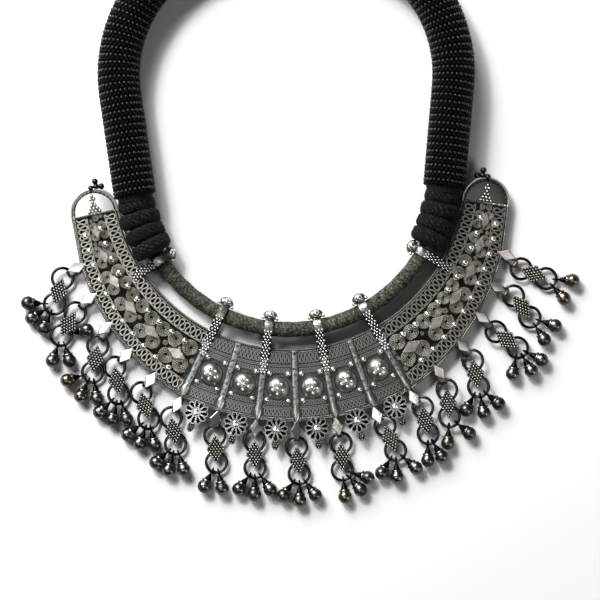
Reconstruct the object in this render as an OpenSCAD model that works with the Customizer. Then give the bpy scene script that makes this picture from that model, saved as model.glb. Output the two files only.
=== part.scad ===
// Torc necklace: a crescent silver collar slung from a wrapped cord, with beaded ropes and bell drops.
// It lies on a surface at z = 0, face up. Angles run from straight below the neck, positive to the right.

/* [Collar plate] */
// Radius of the collar's inner edge
inner_r = 69.6; // [66:0.2:76]
// Angle from the bottom to the base of each end cap
end_angle = 80; // [76:1:84]
// Radius of the outer edge along the bottom
outer_r = 98.8; // [96:0.2:104]
// Radius of the outer edge at the end caps
cap_outer_r = 88.8; // [86:0.2:92]
// Thickness of the plate
plate_t = 0.9; // [0.6:0.1:1.4]
// Height of the plate's underside above the surface
plate_z = 3.2; // [3:0.1:4]
// Width of the raised rim along the edges
rim_w = 1.6; // [1:0.1:2.4]
// Height of the raised rim above the plate
rim_h = 0.7; // [0.4:0.1:1.2]
// Height of each end cap's straight sides below its half circle
cap_rise = 1.2; // [0.4:0.1:3]
// Width of the rim round each end cap
cap_rim_w = 1; // [0.6:0.1:1.6]
// Radius of the four balls on top of each end cap
cap_ball_r = 1; // [0.8:0.05:1.2]
// Distance of the four balls from the cap's middle, towards the neck
cap_ball_in = 2.6; // [0:0.1:4]

/* [Bars and panels] */
// Angle between two neighbouring bars
bar_step = 9.2; // [8:0.1:10]
// Bars on each side of the middle one
bars_each_side = 3; // [1:1:3]
// Width of a bar
bar_w = 2.4; // [1.6:0.1:3.2]
// Height of a bar above the plate
bar_h = 1.1; // [0.6:0.1:1.6]
// Radius at which a bar without a sling starts
bar_start_r = 70; // [70:0.5:76]
// Radius of the circle on which the domes sit
dome_ring_r = 85.4; // [84:0.2:87]
// Radius of a dome's foot
dome_r = 5; // [3.5:0.1:5.4]
// Height of a dome above the plate
dome_h = 3.6; // [2:0.1:4.5]
// Radius of the balls at the corners of a panel
panel_ball_r = 1.2; // [0.8:0.1:1.4]
// Radius of the circle with the upper balls of the panels
panel_top_r = 79.6; // [78:0.1:81]
// Radius of the circle with the lower balls of the panels
panel_low_r = 90.4; // [89:0.1:92]
// Angle from the middle of a panel to its balls
panel_ball_angle = 2.7; // [2:0.1:3.2]
// Radius of the circle on which the flowers sit
flower_ring_r = 101.8; // [100:0.2:104]
// Radius of a flower
flower_r = 4.6; // [3.5:0.1:5]
// Length of the drop finial below a flower
finial_l = 4.4; // [3:0.1:6]
// Width of the drop finial
finial_w = 2.4; // [1.6:0.1:3]

/* [Side bands] */
// Lozenges on each side
lozenges = 6; // [4:1:6]
// Length of the largest lozenge, along the band
lozenge_l = 8.8; // [6:0.1:9]
// Width of the largest lozenge, across the band
lozenge_w = 4.8; // [3:0.1:5.2]
// Height of a lozenge above the plate
lozenge_h = 1.0; // [0.6:0.1:1.4]
// Angle to the first lozenge and to the first balls
band_start = 33.8; // [32:0.1:36]
// Angle from the first lozenge to the second
lozenge_step = 9.42; // [8:0.02:10]
// How much less each next step between two lozenges is
lozenge_closing = 0.56; // [0:0.02:0.8]
// How much smaller each next lozenge is, as a share of the largest
lozenge_shrink = 0.045; // [0:0.005:0.08]
// Radius of the silver balls in the two rows
ball_r = 1.4; // [1:0.1:1.6]
// Radius of the circle with the inner row of balls
inner_row_r = 78.3; // [77:0.1:79]
// Balls in the inner row
inner_balls = 10; // [6:1:10]
// Angle between two balls of the inner row
inner_ball_step = 4.65; // [4.2:0.05:4.8]
// Radius at which the outer row of balls starts
outer_row_r = 91; // [90:0.1:92]
// How much nearer to the neck each next ball of the outer row is
outer_row_fall = 0.62; // [0.5:0.02:0.7]
// Balls in the outer row
outer_balls = 11; // [6:1:11]
// Angle between two balls of the outer row
outer_ball_step = 4.1; // [3.8:0.05:4.3]

/* [Tabs and hooks] */
// Tabs on each side edge
tabs_each_side = 5; // [3:1:5]
// Angle between two neighbouring side tabs
tab_step = 8.1; // [7.5:0.1:8.5]
// Length of a rhombic tab
tab_l = 8; // [6:0.1:9]
// Width of a rhombic tab
tab_w = 4.6; // [3:0.1:5]
// Thickness of a tab
tab_t = 0.6; // [0.4:0.1:0.8]
// Distance from the edge to the middle of a tab below a bar
bar_tab_out = 3.3; // [2:0.1:4]
// Distance from the edge to the middle of a tab on the side
side_tab_out = 1.8; // [1:0.1:3]
// Width of the strip that is curled into a hook
hook_w = 2.0; // [1.4:0.1:2.4]
// Thickness of the strip
hook_t = 0.55; // [0.4:0.05:0.6]
// Inner radius of the hook's bend
hook_r = 1.25; // [1.1:0.05:1.3]
// Height of the hook's bend above the surface
hook_z = 2.2; // [2.1:0.1:2.6]

/* [Slings] */
// Width of a sling's strap
strap_w = 3.6; // [2.4:0.1:4.4]
// Thickness of a strap
strap_t = 0.75; // [0.5:0.05:1]
// Angle of the two end slings
end_sling_angle = 58.1; // [57:0.5:59]
// Radius of the ball at the middle of a sling's finial
finial_ball_r = 1.5; // [1.3:0.1:1.7]
// Radius of the five small balls round it
finial_small_r = 0.9; // [0.7:0.1:0.9]
// Distance from the finial's middle to its small balls
finial_spread = 2; // [1.8:0.1:2.2]

/* [Drops] */
// Radius of a link's ring, to the middle of its wire
ring_r = 4.05; // [3.8:0.05:4.2]
// Radius of the ring's wire
wire_r = 0.75; // [0.5:0.05:0.8]
// Distance between the middles of a link's two rings
link_l = 10.8; // [10:0.1:12]
// Length of the lozenge that joins the two rings
link_lozenge_l = 11.6; // [10:0.1:12]
// Width of the lozenge that joins the two rings
link_lozenge_w = 7.2; // [5:0.1:8]
// Thickness of the lozenge that joins the two rings
link_lozenge_t = 1.0; // [0.6:0.1:1.4]
// Radius of a bell
bell_r = 2.7; // [2.2:0.05:2.75]
// Distance from the middle of a bell's eye to the middle of the bell
bell_l = 6.65; // [6:0.05:7]
// Radius of a bell's eye, to the middle of its wire
eye_r = 1.35; // [1.3:0.05:1.5]
// Radius of the eye's wire
eye_wire_r = 0.35; // [0.25:0.05:0.4]

/* [Cord and wraps] */
// Radius of the circle that the cord follows
cord_ring_r = 61.8; // [61:0.2:62.6]
// Radius of the wrapped cord
cord_r = 3.2; // [2.6:0.1:3.2]
// Turns of cotton on each end of the cord
wrap_turns = 4; // [2:1:4]
// Angle between two neighbouring turns
turn_step = 5.4; // [5.3:0.05:6]
// Thickness of one turn, along the cord
turn_t = 5.9; // [4.5:0.1:5.9]
// Radius of the fattest turn
turn_r = 8; // [7:0.1:8]
// How much less the radius of the turn next to the rope is
first_turn_less = 0.7; // [0:0.1:1]

/* [Ropes and clasp] */
// Radius of a beaded rope
rope_r = 8.8; // [8:0.1:8.8]
// Length of the straight stretch beside the neck
rope_straight_l = 41; // [30:1:60]
// Length of the barrel clasp
clasp_l = 22; // [16:1:30]
// Radius of the barrel clasp
clasp_r = 6.5; // [5:0.1:8]

/* [Hidden] */
$fn = 48;
// How far soldered shapes reach into each other
bite = 0.1;
// How far the end caps reach into the band, so that no two faces nearly meet
cap_lap = 1;
// Running gap between pieces that touch on the real necklace
gap = 0.3;
// Facets of the large circles
fine = 180;

// Columns of the table of drops, one row for each, from the left end to the right end.
// reach: from the collar's edge to the wire in the hook, in mm. swing: turn of the hook from straight out.
// turn: turn of the link from straight out. roll: how far the link is rolled on its side.
// bells: turn of each bell from the link's own direction. Angles are in degrees.
REACH = 0;
SWING = 1;
TURN = 2;
ROLL = 3;
BELLS = 4;
DROPS = [
    [4.8, 10, 49, 8, [-75, -41, -7]],
    [5.4, 11, 27, 12, [133, 12, 50]],
    [5.2, 22, 39, 0, [-61, -15, 21]],
    [4.2, -2, 50, 16, [-54, -22, 10]],
    [4.2, -3, 50, 16, [-69, -36, -3]],
    [5.2, 0, 35, 6, [-56, -24, 9]],
    [5.8, 9, 20, 0, [-30, 9]],
    [4.6, 1, 9, 0, [-39, -3, 34]],
    [6.2, -1, 4, 0, [-42, -5, 32]],
    [6.6, 1, -8, 0, [3, 40, 71]],
    [4.8, 11, 3, 10, [-55, -20, 27]],
    [4.6, 9, -18, 16, [-12, 20]],
    [5.6, -11, -32, 18, [-9, 45]],
    [4.8, -8, -33, 16, [-41, -1, 38]],
    [5.8, -7, 0, 8, [-65, -23, 10]],
    [5.4, 1, -24, 10, [-5, 34]],
    [5.6, -18, -1, 0, [-27, 17]]
];

tabs_half = bars_each_side + tabs_each_side;
last_bar_angle = bars_each_side * bar_step;
plate_top = plate_z + plate_t;
cap_r = (cap_outer_r - inner_r) / 2;

// Every second bar, counted from the middle one, runs on into a sling
function has_sling(k) = abs(k) % 2 == 1;

// Angle of tab i, counted from the left end
function tab_angle(i) = let (k = i - tabs_half)
    abs(k) <= bars_each_side ? k * bar_step
    : sign(k) * (last_bar_angle + (abs(k) - bars_each_side) * tab_step);

// Radius of the collar's outer edge at an angle: even along the bars, then narrower towards the caps
function edge_r(a) = abs(a) <= last_bar_angle ? outer_r
    : outer_r - (outer_r - cap_outer_r) * (abs(a) - last_bar_angle) / (end_angle - last_bar_angle);

// Angle that a length takes up on the cord's circle
function degrees(l) = l / cord_ring_r * 180 / PI;

// Point at a radius and an angle from straight down
function polar(r, a) = [r * sin(a), -r * cos(a)];

// Corners of the outer edge, one at each tab and one at each cap
edge_angles = concat([-end_angle], [for (i = [0:2 * tabs_half]) tab_angle(i)], [end_angle]);

// How a drop hangs, worked out from its row
function turn_in_hook(i) = DROPS[i][TURN] - DROPS[i][SWING];
function roll_of(i) = turn_in_hook(i) > 0 ? -DROPS[i][ROLL] : DROPS[i][ROLL];
// Height of the lower ring's middle: its bells' eyes stand on the surface
function low_z(i) = eye_r + eye_wire_r + 0.1 + 0.75 * ring_r * sin(DROPS[i][ROLL]);
function tilt_of(i) = asin((hook_z - ring_r * sin(turn_in_hook(i)) * sin(roll_of(i)) - low_z(i))
    / (link_l + ring_r * cos(turn_in_hook(i))));
function heading(i) = tab_angle(i) + DROPS[i][TURN] - 90;
// The wire in the hook, seen from the middle of the upper ring
function hooked_point(i) = ring_r * [-cos(turn_in_hook(i)), sin(turn_in_hook(i)), 0];
function hook_point(i) = let (a = tab_angle(i), b = a + DROPS[i][SWING],
    p = polar(edge_r(a), a) + polar(DROPS[i][REACH], b)) [p.x, p.y, hook_z];

// A vector turned about x, then y, then z
function about_x(v, a) = [v.x, v.y * cos(a) - v.z * sin(a), v.y * sin(a) + v.z * cos(a)];
function about_y(v, a) = [v.x * cos(a) + v.z * sin(a), v.y, v.z * cos(a) - v.x * sin(a)];
function about_z(v, a) = [v.x * cos(a) - v.y * sin(a), v.x * sin(a) + v.y * cos(a), v.z];
// Where a point of link i lies on the necklace
function on_link(i, v) = hook_point(i)
    + about_z(about_y(about_x(v - hooked_point(i), roll_of(i)), tilt_of(i)), heading(i));
function eye_point(i, b) = on_link(i, [link_l, 0, 0] + ring_r * [cos(b), sin(b), 0]);
function bell_pitch(i, b) = asin((bell_r - eye_point(i, b).z) / bell_l);
function bell_point(i, b) = eye_point(i, b)
    + about_z(about_y([bell_l, 0, 0], -bell_pitch(i, b)), heading(i) + b);

// Turn k of the cotton wrap, counted from the rope
function turn_angle(k) = end_angle + bite - turn_step * k;
cord_end_angle = turn_angle(0) + degrees(turn_t / 2 - bite);

// The rope leaves the cord's circle along its tangent, then bends round to the clasp
rope_start_angle = turn_angle(0) + degrees(turn_t / 2 + 2 * gap);
rope_start = polar(cord_ring_r, rope_start_angle);
rope_lean = 90 - rope_start_angle;
rope_end_l = 2.5;
rope_end_less = 2.2;
rope_bend_start = rope_start + rope_straight_l * [sin(rope_lean), cos(rope_lean)];
clasp_half = clasp_l / 2 + gap;
rope_bend_r = (rope_bend_start.x - clasp_half) / cos(rope_lean);
rope_bend_y = rope_bend_start.y + rope_bend_r * sin(rope_lean);
loop_top_y = rope_bend_y + rope_bend_r;

// The slings and the cord
cord_z = cord_r + gap + strap_t + bite;
sling_r = cord_r + gap;
sling_end_x = 12.6;
finial_z = 2.2;
finial_drop = 0.7;
wrap_z = turn_r + bite;

// The middle of the box around the whole necklace goes to the origin, to the nearest millimetre
bell_points = [for (i = [0:2 * tabs_half]) for (b = DROPS[i][BELLS]) bell_point(i, b)];
left_x = min([for (p = bell_points) p.x]) - bell_r;
right_x = max([for (p = bell_points) p.x]) + bell_r;
low_y = min([for (p = bell_points) p.y]) - bell_r;
part_shift = [-round((left_x + right_x) / 2), -round((loop_top_y + rope_r + low_y) / 2), 0];

function two_digits(i) = str(i < 9 ? "0" : "", i + 1);
function link_name(i) = str("link_", two_digits(i));
function bells_name(i) = str("bells_", two_digits(i));
drop_rows = [0:2 * tabs_half];

// Children are put at a radius and an angle, with x pointing outwards
module at(r, a) {
    rotate([0, 0, a - 90]) translate([r, 0, 0]) children();
}

// Children are drawn with x outwards and y upwards, and get a width across
module across(w) {
    rotate([90, 0, 0]) linear_extrude(w, center = true) children();
}

module rhombus(l, w, t) {
    linear_extrude(t) polygon([[-l / 2, 0], [0, -w / 2], [l / 2, 0], [0, w / 2]]);
}

// The collar's outline, with its outer corners moved inwards by an inset
module outline(inset) {
    polygon(concat([for (a = edge_angles) polar(edge_r(a) - inset, a)], [[0, 0]]));
}

module plate() {
    translate([0, 0, plate_z]) difference() {
        linear_extrude(plate_t) outline(0);
        translate([0, 0, -1]) cylinder(h = plate_t + 2, r = inner_r, $fn = fine);
    }
}

module outer_rim() {
    translate([0, 0, plate_top - bite]) linear_extrude(rim_h + bite) difference() {
        outline(bite);
        outline(rim_w);
        circle(r = inner_r + 2 * rim_w, $fn = fine);
    }
}

module inner_rim() {
    reach = end_angle + 3 * bite;
    translate([0, 0, plate_top - bite]) rotate([0, 0, -90 - reach])
        rotate_extrude(angle = 2 * reach, $fn = fine)
            translate([inner_r + 3 * bite, 0]) square([rim_w - 3 * bite, rim_h + bite]);
}

// The outline of an end cap above a base line, with its edge moved inwards by an inset
module cap_outline(inset, base) {
    r = cap_r - inset;
    polygon(concat([[r, base]], [for (p = bend(r, 0, 180, 24)) p + [0, cap_rise]], [[-r, base]]));
}

// Three balls side by side and one above them, on a small round seat
module cap_balls() {
    apart = 2 * cap_ball_r + bite;
    translate([0, cap_ball_r, 2 * bite]) cylinder(h = plate_t / 2, r = 2.2 * cap_ball_r);
    for (k = [-1:1]) translate([apart * k, cap_ball_r * (0.6 - 0.3 * abs(k)), plate_t - bite])
        sphere(r = cap_ball_r);
    translate([0, cap_ball_r * 0.6 + apart, plate_t - bite]) sphere(r = cap_ball_r);
}

// A half-round end cap with a rim round it, and four balls on top
module cap(side) {
    top = cap_rise + cap_r;
    at(inner_r + cap_r, side * end_angle) mirror([0, side > 0 ? 0 : 1, 0]) translate([0, 0, plate_z]) {
        translate([0, 0, bite / 2]) linear_extrude(plate_t - bite) cap_outline(bite / 2, -cap_lap);
        translate([0, 0, plate_t - 2 * bite]) linear_extrude(rim_h + bite) difference() {
            cap_outline(2 * bite, -bite);
            cap_outline(cap_rim_w, cap_rim_w - bite);
        }
        translate([-cap_ball_in, top - cap_ball_in * cap_ball_in / cap_r / 2, 0]) cap_balls();
    }
}

// A hammered bar from a starting radius to its tab
module bar(a, start_r) {
    end_r = outer_r + bar_tab_out - tab_l / 4;
    at(start_r, a) translate([0, -bar_w / 2, plate_top - 2 * bite])
        cube([end_r - start_r, bar_w, bar_h + 2 * bite]);
}

// A rhombic tab on the edge, and the strip below it that is curled into a hook
module tab(i) {
    a = tab_angle(i);
    on_bar = abs(a) <= last_bar_angle;
    at(edge_r(a), a) {
        translate([on_bar ? bar_tab_out : side_tab_out, 0, plate_top - 3 * bite])
            rhombus(tab_l, tab_w, tab_t + 3 * bite);
        rotate([0, 0, DROPS[i][SWING]]) hook(DROPS[i][REACH]);
    }
}

// A closed strip: out below the tab, round the link's wire and back under the plate
module hook(reach) {
    leg_in = reach + hook_w - 2 * bite;
    translate([reach, 0, hook_z]) across(hook_w) {
        difference() {
            circle(r = hook_r + hook_t);
            circle(r = hook_r);
            translate([-2 * hook_r - 1, -3]) square([2 * hook_r + 1, 6]);
        }
        translate([-leg_in, hook_r]) square([leg_in, hook_t]);
        translate([-leg_in, -hook_r - hook_t]) square([leg_in, hook_t]);
        translate([-leg_in, -hook_r - hook_t]) square([hook_t, 2 * (hook_r + hook_t)]);
    }
}

// Half of a sling's outline: a bend round the cord with a straight leg down to the plate on each side
function leg_touch(r, x, y) = atan2(y, x) + acos(r / norm([x, y]));
function bend(r, from, to, n = 16) =
    [for (k = [0:n]) let (a = from + (to - from) * k / n) r * [cos(a), sin(a)]];

module sling_outline() {
    top_y = plate_top + bar_h - cord_z;
    under_y = cord_z - plate_z;
    outer = sling_r + strap_t;
    outer_top = leg_touch(outer, sling_end_x, top_y);
    outer_under = 360 - leg_touch(outer, sling_end_x, under_y + strap_t - bite);
    under_strap = top_y - bar_h - 2 * bite;
    inner_top = leg_touch(sling_r, sling_end_x, under_strap);
    inner_under = 360 - leg_touch(sling_r, sling_end_x, under_y - 2 * bite);
    polygon(concat([[sling_end_x, top_y]], bend(outer, outer_top, outer_under),
        [[sling_end_x, -under_y - strap_t + bite], [sling_end_x, -under_y + 2 * bite]],
        bend(sling_r, inner_under, inner_top), [[sling_end_x, under_strap]]));
}

// A strap round the cord, with a cluster of balls on its inner side
module sling(a) {
    at(cord_ring_r, a) translate([0, 0, cord_z]) {
        across(strap_w) sling_outline();
        translate([-sling_r - strap_t - 2 * gap, 0, finial_z]) {
            sphere(r = finial_ball_r);
            for (k = [-2:2]) rotate([0, 0, 180 + 60 * k]) translate([finial_spread, 0, -finial_drop])
                sphere(r = finial_small_r);
        }
    }
}

// A dome: the top of a ball, its foot sunk a little into the plate
module dome(a) {
    r = (dome_r * dome_r + dome_h * dome_h) / (2 * dome_h);
    at(dome_ring_r, a) translate([0, 0, plate_top + dome_h - r]) intersection() {
        sphere(r = r);
        translate([-r, -r, r - dome_h - bite]) cube([2 * r, 2 * r, dome_h + 1]);
    }
}

// A flower on the lower edge with a drop finial
module flower(a) {
    at(flower_ring_r, a) {
        translate([0, 0, plate_top - 4 * bite]) cylinder(h = plate_t + bite, r = flower_r);
        translate([0, 0, plate_top]) sphere(r = panel_ball_r);
        translate([flower_r - 1, -finial_w / 2, plate_z + bite]) cube([finial_l, finial_w, plate_t]);
    }
}

// Four balls at the corners of a panel
module panel_balls(a) {
    for (k = [-1, 1]) for (r = [panel_top_r, panel_low_r]) at(r, a + panel_ball_angle * k)
        translate([0, 0, plate_top + panel_ball_r - 5 * bite]) sphere(r = panel_ball_r);
}

// A silver ball on the plate
module ball(r, a) {
    at(r, a) translate([0, 0, plate_top + ball_r - 6 * bite]) sphere(r = ball_r);
}

// The lozenges get smaller and closer towards the caps
module side_band(side) {
    for (k = [0:lozenges - 1]) {
        a = band_start + lozenge_step * k - lozenge_closing * k * (k - 1) / 2;
        shrink = 1 - lozenge_shrink * k;
        at((inner_r + edge_r(a)) / 2 + 6 * bite, side * a) translate([0, 0, plate_top - bite])
            rotate([0, 0, 90]) rhombus(lozenge_l * shrink, lozenge_w * shrink, lozenge_h + bite);
    }
    for (k = [0:inner_balls - 1]) ball(inner_row_r, side * (band_start + inner_ball_step * k));
    for (k = [0:outer_balls - 1])
        ball(outer_row_r - outer_row_fall * k, side * (band_start + outer_ball_step * k));
}

// The plate with its rims, caps and bars
module framework() {
    plate();
    outer_rim();
    inner_rim();
    for (side = [-1, 1]) cap(side);
    for (k = [-bars_each_side:bars_each_side])
        bar(k * bar_step, has_sling(k) ? cord_ring_r + sling_end_x - 5 * bite : bar_start_r);
}

// Everything soldered on along the outer edge
module edge_parts() {
    for (i = drop_rows) tab(i);
    for (k = [-bars_each_side:bars_each_side - 1]) flower((k + 0.5) * bar_step);
}

module slings() {
    for (side = [-1, 1]) sling(side * end_sling_angle);
    for (k = [-bars_each_side:bars_each_side]) if (has_sling(k)) sling(k * bar_step);
}

// Everything soldered on the plate's face
module face_parts() {
    for (k = [-bars_each_side:bars_each_side - 1]) {
        dome((k + 0.5) * bar_step);
        panel_balls((k + 0.5) * bar_step);
    }
    for (side = [-1, 1]) side_band(side);
}

module placed() {
    translate(part_shift) children();
}

module collar() {
    color([0.42, 0.41, 0.39]) placed() {
        union() framework();
        union() edge_parts();
        union() slings();
        union() face_parts();
    }
}

module core_cord() {
    color([0.19, 0.19, 0.16]) placed() translate([0, 0, cord_z])
        rotate([0, 0, -90 - cord_end_angle]) rotate_extrude(angle = 2 * cord_end_angle, $fn = fine)
            translate([cord_ring_r, 0]) circle(r = cord_r);
}

// One fat turn of cotton, rounded on its rim
module wrap_turn(r) {
    rotate_extrude() intersection() {
        union() {
            translate([r - turn_t / 2, 0]) circle(r = turn_t / 2);
            translate([0, -turn_t / 2]) square([r - turn_t / 2, turn_t]);
        }
        translate([0, -turn_t / 2]) square([2 * r, turn_t]);
    }
}

module wrap(side) {
    color([0.18, 0.18, 0.15]) placed() difference() {
        for (k = [0:wrap_turns - 1]) {
            r = k == 0 ? turn_r - first_turn_less : turn_r;
            at(cord_ring_r, side * turn_angle(k)) translate([0, 0, wrap_z]) rotate([90, 0, 0])
                wrap_turn(r);
        }
        translate([0, 0, cord_z]) rotate([0, 0, -135 + 90 * side]) rotate_extrude(angle = 90, $fn = fine)
            translate([cord_ring_r, 0]) circle(r = cord_r + gap / 2);
    }
}

module wrap_left() {
    wrap(-1);
}

module wrap_right() {
    wrap(1);
}

// Straight beside the neck, then one bend round to the clasp at the back
module rope(side) {
    color([0.05, 0.05, 0.05]) placed() mirror([side > 0 ? 0 : 1, 0, 0]) translate([0, 0, rope_r]) {
        translate([rope_start.x, rope_start.y, 0]) rotate([-90, 0, -rope_lean]) {
            cylinder(h = rope_end_l, r1 = rope_r - rope_end_less, r2 = rope_r);
            translate([0, 0, rope_end_l]) cylinder(h = rope_straight_l - rope_end_l + bite, r = rope_r);
        }
        translate([clasp_half, rope_bend_y, 0]) rotate([0, 0, -rope_lean])
            rotate_extrude(angle = 90 + rope_lean, $fn = fine)
                translate([rope_bend_r, 0]) circle(r = rope_r - bite);
    }
}

module rope_left() {
    rope(-1);
}

module rope_right() {
    rope(1);
}

module clasp() {
    color([0.6, 0.59, 0.56]) placed() translate([-clasp_l / 2, loop_top_y, rope_r]) rotate([0, 90, 0]) {
        cylinder(h = 1, r1 = clasp_r - 1, r2 = clasp_r);
        translate([0, 0, 1]) cylinder(h = clasp_l - 2, r = clasp_r);
        translate([0, 0, clasp_l - 1]) cylinder(h = 1, r1 = clasp_r, r2 = clasp_r - 1);
    }
}

// Two wire rings joined by a lozenge, with the upper ring's middle at the origin
module link_shape() {
    for (x = [0, link_l]) translate([x, 0, 0]) rotate_extrude() translate([ring_r, 0])
        circle(r = wire_r, $fn = 24);
    translate([link_l / 2, 0, -bite]) rhombus(link_lozenge_l, link_lozenge_w, link_lozenge_t);
}

module link(i) {
    color([0.3, 0.29, 0.27]) placed() translate(hook_point(i)) rotate([roll_of(i), tilt_of(i), heading(i)])
        translate(-hooked_point(i)) link_shape();
}

// A bell with its collar, neck and eye, seen from the eye's middle along x
module bell_shape() {
    rotate([90, 0, 0]) rotate_extrude() translate([eye_r, 0]) circle(r = eye_wire_r, $fn = 24);
    translate([bell_l, 0, 0]) sphere(r = bell_r);
    rotate([0, 90, 0]) {
        translate([0, 0, eye_r]) cylinder(h = bell_l - bell_r - eye_r, r1 = 0.5, r2 = 1.4);
        translate([0, 0, bell_l - bell_r - 0.5]) cylinder(h = 0.8, r = 1.8);
    }
}

module bells(i) {
    color([0.36, 0.34, 0.31]) placed() for (b = DROPS[i][BELLS])
        translate(eye_point(i, b)) rotate([roll_of(i) * cos(b), -bell_pitch(i, b), heading(i) + b])
            bell_shape();
}

collar();
core_cord();
wrap_left();
wrap_right();
rope_left();
rope_right();
clasp();
for (i = drop_rows) link(i);
for (i = drop_rows) bells(i);
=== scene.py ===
# %% [markdown]
# # A torc necklace of blackened silver, cotton cord and seed beads
# The necklace is a crescent collar of silver sheet and wire that hangs from a wrapped cord, with two
# beaded ropes behind it and seventeen drops with round bells along its lower edge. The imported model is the
# frame: it fixes every size and place. Here each of its parts gets the surface that a silversmith, a
# beader or a cord winder would leave on it.

# %% Load the frame
import bpy
import numpy as np
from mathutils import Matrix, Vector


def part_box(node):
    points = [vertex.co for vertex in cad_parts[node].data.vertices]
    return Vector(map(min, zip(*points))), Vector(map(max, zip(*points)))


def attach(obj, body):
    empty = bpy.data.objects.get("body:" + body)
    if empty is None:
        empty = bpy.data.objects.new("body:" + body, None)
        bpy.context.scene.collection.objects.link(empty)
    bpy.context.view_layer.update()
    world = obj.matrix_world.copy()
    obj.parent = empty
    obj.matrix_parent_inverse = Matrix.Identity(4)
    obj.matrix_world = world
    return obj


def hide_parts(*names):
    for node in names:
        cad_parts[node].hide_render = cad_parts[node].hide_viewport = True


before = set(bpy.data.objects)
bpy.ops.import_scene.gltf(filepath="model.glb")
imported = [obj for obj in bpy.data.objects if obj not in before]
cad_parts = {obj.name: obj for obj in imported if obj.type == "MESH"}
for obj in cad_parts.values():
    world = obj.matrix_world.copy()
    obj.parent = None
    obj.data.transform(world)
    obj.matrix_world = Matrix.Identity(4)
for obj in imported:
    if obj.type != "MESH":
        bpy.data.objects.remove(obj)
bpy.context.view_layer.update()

# %% [markdown]
# ## One set of measures
# Everything below is worked out in millimetres, with the middle of the neck as the origin, because the
# collar, the cord and the ropes are all arcs round that point. Angles run from straight below the neck,
# positive to the right. The frame has its own origin, so the neck's place is read off two of its nodes:
# the clasp lies on the middle line, and the cord's lowest point is 65 mm below the neck's middle.

# %% The middle of the neck
MM = 0.001
CORD_RING_R, CORD_R = 61.8, 3.2
SIDES = ((-1, "left"), (1, "right"))
clasp_low, clasp_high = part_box("clasp")
NECK = np.array([(clasp_low.x + clasp_high.x) / 2 / MM,
                 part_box("core_cord")[0].y / MM + CORD_RING_R + CORD_R, 0.0])
print("middle of the neck at", NECK.round(2), "mm")


# %% Points and turns
def sine(angle):
    """Sine of an angle in degrees."""
    return np.sin(np.radians(angle))


def cosine(angle):
    """Cosine of an angle in degrees."""
    return np.cos(np.radians(angle))


def xyz(x, y, z=0.0):
    """Points from their x, y and z, each an array or one number for all of them."""
    return np.stack(np.broadcast_arrays(x, y, z), -1)


def polar(radius, angle, z=0.0):
    """Point at a radius and an angle from straight down: (r sin a, -r cos a, z)."""
    return xyz(radius * sine(angle), -radius * cosine(angle), z)


def turned(x=0.0, y=0.0, z=0.0):
    """Turning matrices about x, then y, then z, in degrees, one for each angle: the product Rz Ry Rx."""
    angles = np.broadcast_arrays(*(np.asarray(v, float) for v in (x, y, z)))
    (cx, cy, cz), (sx, sy, sz) = map(cosine, angles), map(sine, angles)
    rows = [[cz * cy, cz * sy * sx - sz * cx, cz * sy * cx + sz * sx],
            [sz * cy, sz * sy * sx + cz * cx, sz * sy * cx - cz * sx],
            [-sy, cy * sx, cy * cx]]
    return np.stack([xyz(*row) for row in rows], -2)


def facing(angle):
    """Turning matrix that makes x point away from the neck at an angle: a turn of (a - 90) about z."""
    return turned(z=np.asarray(angle, float) - 90)


def unit(vectors):
    """The same directions at length 1: v / |v|."""
    return vectors / np.linalg.norm(vectors, axis=-1)[..., None]


def full_turn(count):
    """Even angles round a full circle, in radians: 2 pi k / count."""
    return np.linspace(0, 2 * np.pi, count, endpoint=False)


print("straight below the neck, x points along", facing(0)[:, 0].round(3))

# %% [markdown]
# ## Surfaces from grids
# A wire, a ball and a sheet are all grids of points: rows along the piece and columns round it. So a
# shape here is three arrays, its points, its faces and a number for wear and painted light, from about 0 to
# 1.
# On the silver it says how much a place was rubbed bright: deep grooves stay black, and the tops of the wires
# shine. On the cotton it is painted shade, dark between the threads and lighter on their tops, and on the bar
# tabs it paints a highlight on some faces and shade on others.


# %% A skin over a grid
def skin(grid, wear_and_painted_light, closed=False, tips=None):
    """Four-sided faces between the rows and columns of a grid whose rows are rings: each runs from (i, j) to
    (i, j + 1), (i + 1, j + 1) and (i + 1, j), and point (i, j) is number i * columns + j. If closed, the
    last ring joins the first; if not, a fan closes each end, at its middle or at the given tip."""
    rows, cols = grid.shape[:2]
    wear_and_painted_light = np.broadcast_to(wear_and_painted_light, (rows, cols)).astype(float)
    i = np.arange(rows if closed else rows - 1)[:, None]
    j = np.arange(cols)[None, :]
    after, beside = (i + 1) % rows, (j + 1) % cols
    faces = np.stack(np.broadcast_arrays(i * cols + j, i * cols + beside,
                                         after * cols + beside, after * cols + j), -1).reshape(-1, 4)
    if closed:
        return grid.reshape(-1, 3), faces, wear_and_painted_light.ravel()
    ends = grid[[0, -1]].mean(1) if tips is None else np.asarray(tips, float)
    j, beside, last = j[0], beside[0], (rows - 1) * cols
    tip = np.full(cols, rows * cols)
    fans = [np.stack([beside, j, tip, tip], -1), np.stack([last + j, last + beside, tip + 1, tip + 1], -1)]
    return (np.concatenate([grid.reshape(-1, 3), ends]), np.concatenate([faces, *fans]),
            np.concatenate([wear_and_painted_light.ravel(), wear_and_painted_light[[0, -1]].mean(1)]))


print("a skin over 3 rings of 4 points has", len(skin(np.zeros((3, 4, 3)), 0.0)[1]), "faces")


# %% Wires along a path
def rounded(f, power):
    """cos f and sin f, each raised to a power but with its sign kept."""
    return [np.sign(v) * np.abs(v) ** power for v in (np.cos(f), np.sin(f))]


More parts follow.
